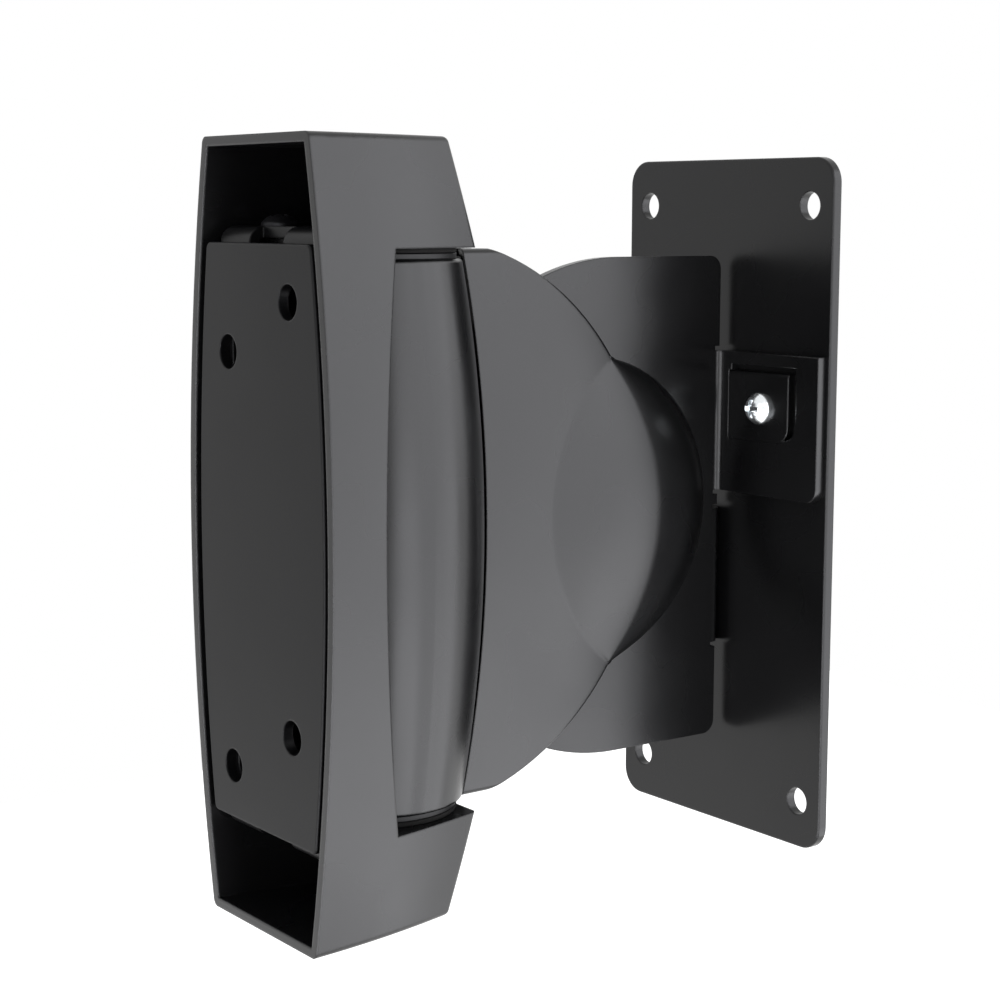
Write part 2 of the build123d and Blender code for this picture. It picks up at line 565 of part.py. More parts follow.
def casing_profile(inset):
    """Side view of the casing, closed at the rear, with its slanted rear ends."""
    top = CASING_HALF_HEIGHT - inset
    front = CASING_FRONT_Y - (5 if inset else 0)
    rear_top = CASING_REAR_TOP_Y - inset
    rear_notch = CASING_REAR_NOTCH_Y - inset
    line = Polyline(
        (front, top),
        (rear_top, top),
        (rear_notch, NOTCH_HALF_HEIGHT),
        (rear_notch, -NOTCH_HALF_HEIGHT),
        (rear_top, -top),
        (front, -top),
        close=True,
    )
    return make_face(line)


def casing_solid(inset):
    """The casing's envelope, moved in by inset on all closed sides."""
    side = casing_side(inset)
    block = on_x(casing_profile(inset), -60, 60)
    return block & side & side.mirror(Plane.YZ)


def notch_outline():
    """Side view of the opening for the knuckle and arm, with its curved front edge."""
    rear = CASING_REAR_NOTCH_Y + 15
    top = (NOTCH_FRONT_END_Y, NOTCH_HALF_HEIGHT)
    bottom = (NOTCH_FRONT_END_Y, -NOTCH_HALF_HEIGHT)
    front = ThreePointArc(top, (NOTCH_FRONT_MIDDLE_Y, 0), bottom)
    rest = Polyline(bottom, (rear, -NOTCH_HALF_HEIGHT), (rear, NOTCH_HALF_HEIGHT), top)
    return make_face(Curve() + [front, rest])


def make_casing():
    """Thin shell with an open front, a shelf over and under the notch, and rounded outer edges."""
    outer = casing_solid(0)
    outer = fillet(outer.edges().filter_by(lambda edge: edge.center().Y > CASING_FRONT_Y + 1), CASING_EDGE_ROUND)
    inner = casing_solid(CASING_WALL)
    shell = outer - inner
    shelf = box_between(-40, 40, SHELF_FRONT_Y, CASING_REAR_NOTCH_Y, NOTCH_HALF_HEIGHT, SHELF_TOP_Z) & inner
    shell += shelf
    shell += shelf.mirror(Plane.XY)
    shell -= on_x(notch_outline(), -60, 60)
    shell -= on_z(Circle(SWIVEL_BOLT_RADIUS + HOLE_GAP), -SHELF_TOP_Z - 1, SHELF_TOP_Z + 1, 0, SWIVEL_Y)
    for x in (-SHELF_SCREW_X, SHELF_SCREW_X):
        shell -= on_z(Circle(SHELF_SCREW_RADIUS + FIT_GAP), -SHELF_TOP_Z - 1, SHELF_TOP_Z + 1, x, SHELF_SCREW_Y)
    return one(shell)


def make_lug():
    """Upper lug of the frame, from the fold to the round end about the swivel bolt."""
    front = SPEAKER_BACK_Y + FRAME_BEND_RADIUS + FRAME_SHEET
    eye = Pos(0, SWIVEL_Y) * Circle(FRAME_LUG_END_RADIUS)
    plan = Polyline(
        (-FRAME_HALF_WIDTH, front),
        (-FRAME_HALF_WIDTH, FRAME_TAPER_Y),
        (-FRAME_LUG_END_RADIUS, SWIVEL_Y),
        (FRAME_LUG_END_RADIUS, SWIVEL_Y),
        (FRAME_HALF_WIDTH, FRAME_TAPER_Y),
        (FRAME_HALF_WIDTH, front),
        close=True,
    )
    return on_z(eye + make_face(plan), SHELF_TOP_Z, LUG_TOP_Z)


def make_frame():
    """Folded frame: a window plate behind the speaker plate and two lugs for the swivel bolt."""
    outer = FRAME_BEND_RADIUS + FRAME_SHEET
    web_top = LUG_TOP_Z - outer
    web = box_between(-FRAME_HALF_WIDTH, FRAME_HALF_WIDTH, SPEAKER_BACK_Y, FRAME_BACK_Y, -web_top, web_top)
    window = RectangleRounded(2 * FRAME_WINDOW_HALF_WIDTH, 2 * FRAME_WINDOW_HALF_HEIGHT, FRAME_WINDOW_CORNER)
    quarter = Circle(outer) - Circle(FRAME_BEND_RADIUS)
    quarter &= Pos(-outer / 2, outer / 2) * Rectangle(outer, outer)
    bend = on_x(quarter, -FRAME_HALF_WIDTH, FRAME_HALF_WIDTH, SPEAKER_BACK_Y + outer, web_top)
    upper = make_lug() + bend
    frame = web + upper + upper.mirror(Plane.XY)
    frame -= on_y(window, FRAME_BACK_Y + 1, SPEAKER_BACK_Y - 1)
    relief_z = LUG_TOP_Z + 1
    relief_depth = SPEAKER_BACK_Y + outer
    for z0, z1 in ((web_top - FRAME_BEND_RADIUS, relief_z), (-relief_z, FRAME_BEND_RADIUS - web_top)):
        half = FRAME_RELIEF_HALF_WIDTH
        frame -= box_between(-half, half, SPEAKER_BACK_Y - 1, relief_depth, z0, z1)
    frame -= on_z(Circle(SWIVEL_BOLT_RADIUS + FIT_GAP), -LUG_TOP_Z - 1, LUG_TOP_Z + 1, 0, SWIVEL_Y)
    for x in (-SHELF_SCREW_X, SHELF_SCREW_X):
        frame -= on_z(Circle(SHELF_SCREW_RADIUS + HOLE_GAP), -LUG_TOP_Z - 1, LUG_TOP_Z + 1, x, SHELF_SCREW_Y)
    return one(frame)


def speaker_hole_places():
    """Two columns of holes, the right one raised: a staggered pattern."""
    far, near, x = SPEAKER_HOLE_FAR_Z, SPEAKER_HOLE_NEAR_Z, SPEAKER_HOLE_X
    return [(x, far), (x, -near), (-x, near), (-x, -far)]


def make_speaker_plate():
    """Flat plate with bowed sides that follow the casing's inner walls."""
    plate = box_between(-60, 60, SPEAKER_FACE_Y, SPEAKER_BACK_Y, -SPEAKER_HALF_HEIGHT, SPEAKER_HALF_HEIGHT)
    side = Pos(SIDE_CENTRE_X, 0) * Circle(CASING_SIDE_RADIUS - CASING_WALL - SPEAKER_SIDE_GAP)
    bowed = on_y(side, SPEAKER_BACK_Y + 1, SPEAKER_FACE_Y - 1)
    plate = plate & bowed & bowed.mirror(Plane.YZ)
    plate = fillet(plate.edges().filter_by(Axis.Y), SPEAKER_CORNER)
    for x, z in speaker_hole_places():
        plate -= on_y(Circle(SPEAKER_HOLE_RADIUS), SPEAKER_BACK_Y + 1, SPEAKER_FACE_Y - 1, x, z)
    front = plate.faces().filter_by(Axis.Y).sort_by(Axis.Y)[0]
    return one(fillet(front.outer_wire().edges(), 0.4))


def make_shelf_screws():
    """Four screws, two on each lug, that clamp the frame to the casing's shelves."""
    screws = []
    for x in (-SHELF_SCREW_X, SHELF_SCREW_X):
        head = pan_head(SHELF_SCREW_HEAD_RADIUS, SHELF_SCREW_HEAD_HEIGHT)
        shank = on_z(Circle(SHELF_SCREW_RADIUS), NOTCH_HALF_HEIGHT, LUG_TOP_Z, x, SHELF_SCREW_Y)
        screw = one(Pos(x, SHELF_SCREW_Y, LUG_TOP_Z) * head + shank)
        screws += [screw, screw.mirror(Plane.XY)]
    return Compound(screws)


def main():
    shell = make_arm_shell()
    nodes = {
        "wall_plate": make_wall_plate(),
        "leaf_bracket": make_leaf_bracket(),
        "lock_catch": make_lock_catch(),
        "lock_screw": make_lock_screw(),
        "tilt_bush": make_tilt_bush(),
        "tilt_friction_discs": make_tilt_discs(),
        "knuckle": make_knuckle(),
        "arm_shell_right": shell,
        "arm_shell_left": shell.mirror(Plane.YZ),
        "shell_screws_right": make_shell_screws(1),
        "shell_screws_left": make_shell_screws(-1),
        "tilt_bolt": make_tilt_bolt(),
        "tilt_spring_washer": make_tilt_spring(),
        "tilt_nut": make_tilt_nut(),
        "swivel_bush_upper": make_swivel_bush(1),
        "swivel_bush_lower": make_swivel_bush(-1),
        "casing": make_casing(),
        "swivel_frame": make_frame(),
        "speaker_plate": make_speaker_plate(),
        "shelf_screws": make_shelf_screws(),
        "swivel_bolt": make_swivel_bolt(),
        "swivel_washers": make_swivel_washers(),
        "swivel_spring_washer": make_swivel_spring(),
        "swivel_nut": make_swivel_nut(),
        "swivel_friction_discs": make_swivel_discs(),
    }
    os.makedirs("parts", exist_ok=True)
    for name, shape in nodes.items():
        export_step(shape, f"parts/{name}.step")
        box = shape.bounding_box()
        print(name, round(shape.volume, 1), [round(v, 2) for v in (*box.min, *box.max)])


if __name__ == "__main__":
    main()
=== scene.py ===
"""Looks of the speaker wall bracket: finishes, smooth coated shells, screws and the photographed view."""

import logging
import math
from dataclasses import dataclass, field
from enum import Enum

import bmesh
import bpy
from mathutils import Matrix, Vector


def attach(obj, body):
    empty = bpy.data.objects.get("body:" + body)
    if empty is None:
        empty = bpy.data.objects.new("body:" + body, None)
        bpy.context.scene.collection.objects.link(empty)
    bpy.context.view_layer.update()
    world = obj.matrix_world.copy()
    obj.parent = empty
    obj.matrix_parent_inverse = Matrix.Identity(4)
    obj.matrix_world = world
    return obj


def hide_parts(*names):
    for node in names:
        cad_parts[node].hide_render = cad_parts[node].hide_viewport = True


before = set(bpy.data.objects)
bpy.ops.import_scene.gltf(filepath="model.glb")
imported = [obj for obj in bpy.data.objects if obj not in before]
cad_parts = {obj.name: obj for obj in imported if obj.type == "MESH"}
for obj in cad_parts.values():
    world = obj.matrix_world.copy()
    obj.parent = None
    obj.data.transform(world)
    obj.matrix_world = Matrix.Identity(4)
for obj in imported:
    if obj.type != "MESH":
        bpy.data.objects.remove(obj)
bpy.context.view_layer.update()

LOG = logging.getLogger("speaker_bracket")
MM = 0.001
BODY_WALL = "wall"
BODY_ARM = "arm"
BODY_HEAD = "head"
SEAT_WAY = "seat_way"
SHARP_ANGLE = 32.0
HALVINGS = 30
MERGE_GAP = 1e-5
SLIVER = 5e-6
TINT_SPAN = (0.35, 0.65)
CLOUD_SPAN = (0.3, 0.7)
CLOUD_DEPTH = 0.04
RUB_POLISH = -0.06
BENT_SPAN = (0.995, 0.86)
RUB_AND_HIGHLIGHT_SPAN = (0.4, 0.7)
HAZE_ROUGHER = 0.08
CLEAR_SMOOTHER = 0.05
PEEL_DEPTH = 0.0001
THREAD_DEPTH_SHARE = 0.45
PAN_HOLLOW = 0.8
PAN_DRAFT = 0.14
SLOT_REACH = 1.1
CHAMFER_START = 0.97
CHAMFER_FALL = 1.7
LATHE_FACETS = 128
FRONT_COLUMNS = 4
WING_COLUMNS = 36
LENS_COLUMNS = 24
FALL_COLUMNS = 20
BEND_COLUMNS = 9
DOME_ROWS = 48
WING_ROWS = 20
EDGE_ROWS = 10
Colour = tuple[float, float, float]
Point = tuple[float, float, float]
Span = tuple[float, float]
Profile = list[tuple[float, float]]
NodeOutput = bpy.types.NodeSocket


class Side(Enum):
    """Which side of the leaf a shell covers."""

    RIGHT = "right"
    LEFT = "left"


class GroupName(Enum):
    """Shader node groups shared by several finishes."""

    POWDER = "powder_texture"
    PLATING = "plating_haze"
    # Group of the rounded edge normal and of the mask for the painted edge highlight with rubbed wear.
    EDGE_RUB_AND_HIGHLIGHT = "edge_rub_and_highlight"


class TreeName(Enum):
    """Geometry node trees that make the fasteners."""

    PAN_HEAD = "cross_recessed_screw"
    HEXAGON = "hexagon_bolt"
    NUT = "hexagon_nut"


@dataclass(frozen=True)
class Socket:
    """One socket of a node group.

    Args:
        name: the socket's name.
        kind: the socket type's identifier.
        default: the value it starts with, or None.
    """

    name: str
    kind: str
    default: object = None


def add_sockets(tree: bpy.types.NodeTree, inputs: list[Socket], outputs: list[Socket]) -> None:
    """Make a node group's sockets.

    Args:
        tree: the node group.
        inputs: its input sockets, in order.
        outputs: its output sockets, in order.
    """
    for in_out, sockets in (("INPUT", inputs), ("OUTPUT", outputs)):
        for socket in sockets:
            made = tree.interface.new_socket(name=socket.name, in_out=in_out, socket_type=socket.kind)
            if socket.default is not None:
                made.default_value = socket.default


class NodeChain:
    """Short way to place and link shader nodes in one tree."""

    def __init__(self, tree: bpy.types.NodeTree) -> None:
        """Keep the tree that the nodes go into."""
        self.tree = tree

    def add(self, kind: str, inputs: dict[str | int, object] | None = None, **settings: object) -> bpy.types.Node:
        """Add a node, set its properties and fill its inputs.

        Args:
            kind: the node type's identifier.
            inputs: input name or index to a value or an output socket.
            settings: properties of the node.

        Returns:
            The new node.
        """
        node = self.tree.nodes.new(kind)
        for name, value in settings.items():
            setattr(node, name, value)
        for name, value in (inputs or {}).items():
            if isinstance(value, bpy.types.NodeSocket):
                self.tree.links.new(value, node.inputs[name])
            else:
                node.inputs[name].default_value = value
        return node


def span(chain: NodeChain, value: NodeOutput, source: Span, target: Span = (0.0, 1.0)) -> NodeOutput:
    """Add a node that maps the source span of a value to the target span and return the result."""
    ends = {"From Min": source[0], "From Max": source[1], "To Min": target[0], "To Max": target[1]}
    return chain.add("ShaderNodeMapRange", {"Value": value, **ends}).outputs[0]


def blended(chain: NodeChain, share: NodeOutput, one: Colour | NodeOutput, two: Colour) -> NodeOutput:
    """Add a node that blends two colours by the share of the second and return the result."""
    first = one if isinstance(one, NodeOutput) else (*one, 1)
    return chain.add("ShaderNodeMix", {0: share, 6: first, 7: (*two, 1)}, data_type="RGBA").outputs[2]


def math_node(chain: NodeChain, operation: str, one: float | NodeOutput, two: float | NodeOutput = 0.0) -> NodeOutput:
    """Add a math node and return its result."""
    return chain.add("ShaderNodeMath", {0: one, 1: two}, operation=operation).outputs[0]


def build_powder_group() -> bpy.types.NodeTree:
    """Build the fine orange-peel texture of powder coat.

    Returns:
        A group that puts out a colour mask, a height and a roughness offset mask.
    """
    tree = bpy.data.node_groups.new(GroupName.POWDER.value, "ShaderNodeTree")
    add_sockets(
        tree,
        [
            Socket("Vector", "NodeSocketVector"),
            Socket("Grain Scale", "NodeSocketFloat", 1400.0),
            Socket("Cloud Scale", "NodeSocketFloat", 40.0),
        ],
        [
            Socket("Tint", "NodeSocketFloat"),
            Socket("Height", "NodeSocketFloat"),
            Socket("Gloss", "NodeSocketFloat"),
        ],
    )
    chain = NodeChain(tree)
    source = chain.add("NodeGroupInput").outputs
    grain = chain.add(
        "ShaderNodeTexNoise",
        {"Vector": source["Vector"], "Scale": source["Grain Scale"], "Detail": 3.0, "Roughness": 0.55},
    )
    peel = chain.add(
        "ShaderNodeTexVoronoi",
        {"Vector": source["Vector"], "Scale": source["Grain Scale"]},
        feature="SMOOTH_F1",
    )
    cloud = chain.add(
        "ShaderNodeTexNoise", {"Vector": source["Vector"], "Scale": source["Cloud Scale"], "Detail": 2.0},
    )
    height = chain.add("ShaderNodeMath", {0: grain.outputs["Fac"], 1: peel.outputs["Distance"]}, operation="ADD")
    sink = chain.add("NodeGroupOutput")
    tree.links.new(grain.outputs["Fac"], sink.inputs["Tint"])
    tree.links.new(height.outputs[0], sink.inputs["Height"])
    tree.links.new(cloud.outputs["Fac"], sink.inputs["Gloss"])
    return tree


def build_plating_group() -> bpy.types.NodeTree:
    """Build the faint haze and turning marks of plated steel.

    Returns:
        A group that puts out a colour mask and a height.
    """
    tree = bpy.data.node_groups.new(GroupName.PLATING.value, "ShaderNodeTree")
    add_sockets(
        tree,
        [Socket("Vector", "NodeSocketVector"), Socket("Haze Scale", "NodeSocketFloat", 300.0)],
        [Socket("Haze", "NodeSocketFloat"), Socket("Height", "NodeSocketFloat")],
    )
    chain = NodeChain(tree)
    source = chain.add("NodeGroupInput").outputs
    haze = chain.add(
        "ShaderNodeTexNoise",
        {"Vector": source["Vector"], "Scale": source["Haze Scale"], "Detail": 4.0, "Roughness": 0.6},
    )
    fine = chain.add("ShaderNodeTexNoise", {"Vector": source["Vector"], "Scale": 2400.0, "Detail": 2.0})
    sink = chain.add("NodeGroupOutput")
    tree.links.new(haze.outputs["Fac"], sink.inputs["Haze"])
    tree.links.new(fine.outputs["Fac"], sink.inputs["Height"])
    return tree


def build_edge_group() -> bpy.types.NodeTree:
    """Build the soft edge of coated sheet, where the coat draws thin and gets rubbed and where a painted highlight
    lightens the colour.

    Returns:
        A group that puts out a rounded normal and a mask of the edges that get both rubbed wear and the painted edge
        highlight.
    """
    tree = bpy.data.node_groups.new(GroupName.EDGE_RUB_AND_HIGHLIGHT.value, "ShaderNodeTree")
    add_sockets(
        tree,
        [
            Socket("Vector", "NodeSocketVector"),
            Socket("Radius", "NodeSocketFloat", 0.0005),
            Socket("Patch Scale", "NodeSocketFloat", 180.0),
        ],
        [Socket("Normal", "NodeSocketVector"), Socket("Rub And Highlight", "NodeSocketFloat")],
    )
    chain = NodeChain(tree)
    source = chain.add("NodeGroupInput").outputs
    rounded = chain.add("ShaderNodeBevel", {"Radius": source["Radius"]}, samples=4).outputs[0]
    plain = chain.add("ShaderNodeNewGeometry").outputs["Normal"]
    along = chain.add("ShaderNodeVectorMath", {0: rounded, 1: plain}, operation="DOT_PRODUCT").outputs["Value"]
    bent = span(chain, along, BENT_SPAN)
    patch = chain.add(
        "ShaderNodeTexNoise", {"Vector": source["Vector"], "Scale": source["Patch Scale"], "Detail": 4.0},
    ).outputs["Fac"]
    rub_and_highlight_patches = span(chain, patch, RUB_AND_HIGHLIGHT_SPAN)
    # Edge mask in noise patches: it carries the rubbed wear and the painted edge highlight alike.
    rub_and_highlight_mask = chain.add("ShaderNodeMath", {0: bent, 1: rub_and_highlight_patches}, operation="MULTIPLY").outputs[0]
    chain.add("NodeGroupOutput", {"Normal": rounded, "Rub And Highlight": rub_and_highlight_mask})
    return tree


@dataclass(frozen=True)
class PowderCoat:
    """Fine-textured black powder coat, or a moulded black plastic with the same grain.

    Args:
        name: the material's name.
        dark: colour in the pits, linear.
        light: colour on the grain's tops, linear.
        worn: lighter colour on edges, partly rubbed coat and partly a painted edge highlight, linear.
        roughness: mean roughness.
        reflection: the shader's specular level.
        bump: strength of the orange peel.
        grain_scale: grain cells per metre.
        edge_radius: radius in metres over which sharp edges catch light and get the painted edge highlight.
    """

    name: str
    dark: Colour
    light: Colour
    # Lighter edge colour: rubbed coat together with a painted edge highlight.
    worn: Colour = (0.018, 0.018, 0.020)
    roughness: float = 0.27
    reflection: float = 0.4
    bump: float = 0.03
    grain_scale: float = 3600.0
    edge_radius: float = 0.0005

    def build(self) -> bpy.types.Material:
        """Return the finished material."""
        material, chain, shader = start_material(self.name)
        place = chain.add("ShaderNodeTexCoord").outputs["Object"]
        grain = chain.add("ShaderNodeGroup", node_tree=bpy.data.node_groups[GroupName.POWDER.value])
        grain.inputs["Grain Scale"].default_value = self.grain_scale
        edge = chain.add("ShaderNodeGroup", node_tree=bpy.data.node_groups[GroupName.EDGE_RUB_AND_HIGHLIGHT.value])
        edge.inputs["Radius"].default_value = self.edge_radius
        chain.tree.links.new(place, grain.inputs["Vector"])
        chain.tree.links.new(place, edge.inputs["Vector"])
        body = blended(chain, span(chain, grain.outputs["Tint"], TINT_SPAN), self.dark, self.light)
        # Painted edge highlight: the edge mask lightens the coat towards the edge colour, which stands in for light
        # on the edges as well as for rubbed wear.
        colour = blended(chain, edge.outputs["Rub And Highlight"], body, self.worn)
        depths = (self.roughness - CLOUD_DEPTH, self.roughness + CLOUD_DEPTH)
        cloud = span(chain, grain.outputs["Gloss"], CLOUD_SPAN, depths)
        polish = math_node(chain, "MULTIPLY", edge.outputs["Rub And Highlight"], RUB_POLISH)
        surface = {"Distance": PEEL_DEPTH, "Height": grain.outputs["Height"], "Normal": edge.outputs["Normal"]}
        bump = chain.add("ShaderNodeBump", {"Strength": self.bump, **surface})
        links = chain.tree.links
        links.new(colour, shader.inputs["Base Color"])
        links.new(math_node(chain, "ADD", cloud, polish), shader.inputs["Roughness"])
        links.new(bump.outputs[0], shader.inputs["Normal"])
        shader.inputs["Specular IOR Level"].default_value = self.reflection
        return material


@dataclass(frozen=True)
class Plating:
    """Plated steel, bright or black.

    Args:
        name: the material's name.
        dark: colour in the haze, linear.
        light: clear colour, linear.
        roughness: mean roughness.
        metallic: how metallic the surface is.
        bump: strength of the turning marks.
    """

    name: str
    dark: Colour
    light: Colour
    roughness: float = 0.25
    metallic: float = 1.0
    bump: float = 0.05

    def build(self) -> bpy.types.Material:
        """Return the finished material."""
        material, chain, shader = start_material(self.name)
        place = chain.add("ShaderNodeTexCoord").outputs["Object"]
        group = chain.add("ShaderNodeGroup", node_tree=bpy.data.node_groups[GroupName.PLATING.value])
        chain.tree.links.new(place, group.inputs["Vector"])
        haze = group.outputs["Haze"]
        rough = span(chain, haze, (0.0, 1.0), (self.roughness + HAZE_ROUGHER, self.roughness - CLEAR_SMOOTHER))
        surface = {"Distance": PEEL_DEPTH, "Height": group.outputs["Height"]}
        bump = chain.add("ShaderNodeBump", {"Strength": self.bump, **surface})
        links = chain.tree.links
        links.new(blended(chain, haze, self.dark, self.light), shader.inputs["Base Color"])
        links.new(rough, shader.inputs["Roughness"])
        links.new(bump.outputs[0], shader.inputs["Normal"])
        shader.inputs["Metallic"].default_value = self.metallic
        return material


def start_material(name: str) -> tuple[bpy.types.Material, NodeChain, bpy.types.Node]:
    """Make an empty node material with one Principled shader.

    Args:
        name: the material's name.

    Returns:
        The material, its node chain and the shader node.
    """
    material = bpy.data.materials.new(name)
    material.use_nodes = True
    material.node_tree.nodes.clear()
    chain = NodeChain(material.node_tree)
    shader = chain.add("ShaderNodeBsdfPrincipled")
    output = chain.add("ShaderNodeOutputMaterial")
    chain.tree.links.new(shader.outputs[0], output.inputs["Surface"])
    return material, chain, shader


@dataclass
class FinishShelf:
    """All finishes of the bracket, built once.

    Args:
        materials: finish name to material.
    """

    materials: dict[str, bpy.types.Material] = field(default_factory=dict)

    def build(self) -> None:
        """Build the shared groups and every finish."""
        build_powder_group()
        build_edge_group()
        build_plating_group()
        black = ((0.003, 0.003, 0.0034), (0.0055, 0.0055, 0.0062))
        fibre = ((0.004, 0.004, 0.004), (0.012, 0.011, 0.010))
        finishes = [
            PowderCoat("coat_plate", *black, reflection=0.33),
            PowderCoat("coat_leaf", *black),
            PowderCoat("coat_arm", *black),
            PowderCoat("coat_casing", *black, edge_radius=0.0007),
            PowderCoat("coat_speaker_plate", *black, roughness=0.32, reflection=0.15),
            PowderCoat("nylon_black", *black, roughness=0.5, reflection=0.3, grain_scale=900.0, edge_radius=0.0002),
            PowderCoat("friction_fibre", *fibre, roughness=0.9, reflection=0.2, bump=0.4),
            Plating("bright_zinc", (0.72, 0.76, 0.78), (0.93, 0.95, 0.96), roughness=0.2),
            Plating("black_zinc", (0.010, 0.010, 0.012), (0.022, 0.022, 0.025), roughness=0.4, metallic=0.6),
        ]
        for finish in finishes:
            self.materials[finish.name] = finish.build()

    def dress(self, node: str, finish: str) -> None:
        """Give a CAD node one finish in all its slots.

        Args:
            node: the CAD node's name.
            finish: the finish's name.
        """
        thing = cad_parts[node]
        if not thing.material_slots:
            thing.data.materials.append(self.materials[finish])
        for slot in thing.material_slots:
            slot.material = self.materials[finish]
        LOG.info("node %s: %s", node, finish)


def finish_mesh(name: str, mesh: bpy.types.Mesh, material: bpy.types.Material) -> bpy.types.Object:
    """Put a mesh into the scene as one smooth piece with one material.

    Args:
        name: the piece's name.
        mesh: its mesh, in metres and in place.
        material: its finish.

    Returns:
        The piece.
    """
    mesh.name = name
    mesh.materials.clear()
    mesh.materials.append(material)
    mesh.shade_smooth()
    mesh.set_sharp_from_angle(angle=math.radians(SHARP_ANGLE))
    piece = bpy.data.objects.new(name, mesh)
    bpy.context.scene.collection.objects.link(piece)
    LOG.info("piece %s: %d faces", name, len(mesh.polygons))
    return piece


def bake(piece: bpy.types.Object) -> bpy.types.Mesh:
    """Turn a piece with live modifiers into a plain mesh and take the piece away.

    Args:
        piece: an object with modifiers.

    Returns:
        The mesh that the modifiers make.
    """
    bpy.context.view_layer.update()
    graph = bpy.context.evaluated_depsgraph_get()
    mesh = bpy.data.meshes.new_from_object(piece.evaluated_get(graph))
    source = piece.data
    piece.modifiers.clear()
    bpy.data.objects.remove(piece)
    bpy.data.meshes.remove(source)
    return mesh


def spread(start: float, end: float, count: int) -> list[float]:
    """Return evenly spaced places from start to end, both ends with them."""
    return [start + (end - start) * step / count for step in range(count + 1)]


def eased(start: float, end: float, count: int) -> list[float]:
    """Return places from start to end that lie closer together towards the end."""
    return [start + (end - start) * math.sin(math.pi / 2 * step / count) for step in range(count + 1)]


def lathe(rings: list[Profile], centre: Point) -> bpy.types.Mesh:
    """Turn closed outlines about the vertical axis.

    Args:
        rings: closed outlines, each a list of radius and height, mm.
        centre: where the axis stands, mm.

    Returns:
        One mesh of all turned outlines, in metres.
    """
    shape = bmesh.new()
    for outline in rings:
        loops = []
        for step in range(LATHE_FACETS):
            turn = 2 * math.pi * step / LATHE_FACETS
            loops.append([
                shape.verts.new(MM * Vector((
                    centre[0] + radius * math.cos(turn), centre[1] + radius * math.sin(turn), centre[2] + height,
                )))
                for radius, height in outline
            ])
        for one, two in zip(loops, loops[1:] + loops[:1]):
            for index in range(len(outline)):
                after = (index + 1) % len(outline)
                shape.faces.new((one[index], two[index], two[after], one[after]))
    bmesh.ops.recalc_face_normals(shape, faces=shape.faces)
    mesh = bpy.data.meshes.new("lathe")
    shape.to_mesh(mesh)
    shape.free()
    return mesh


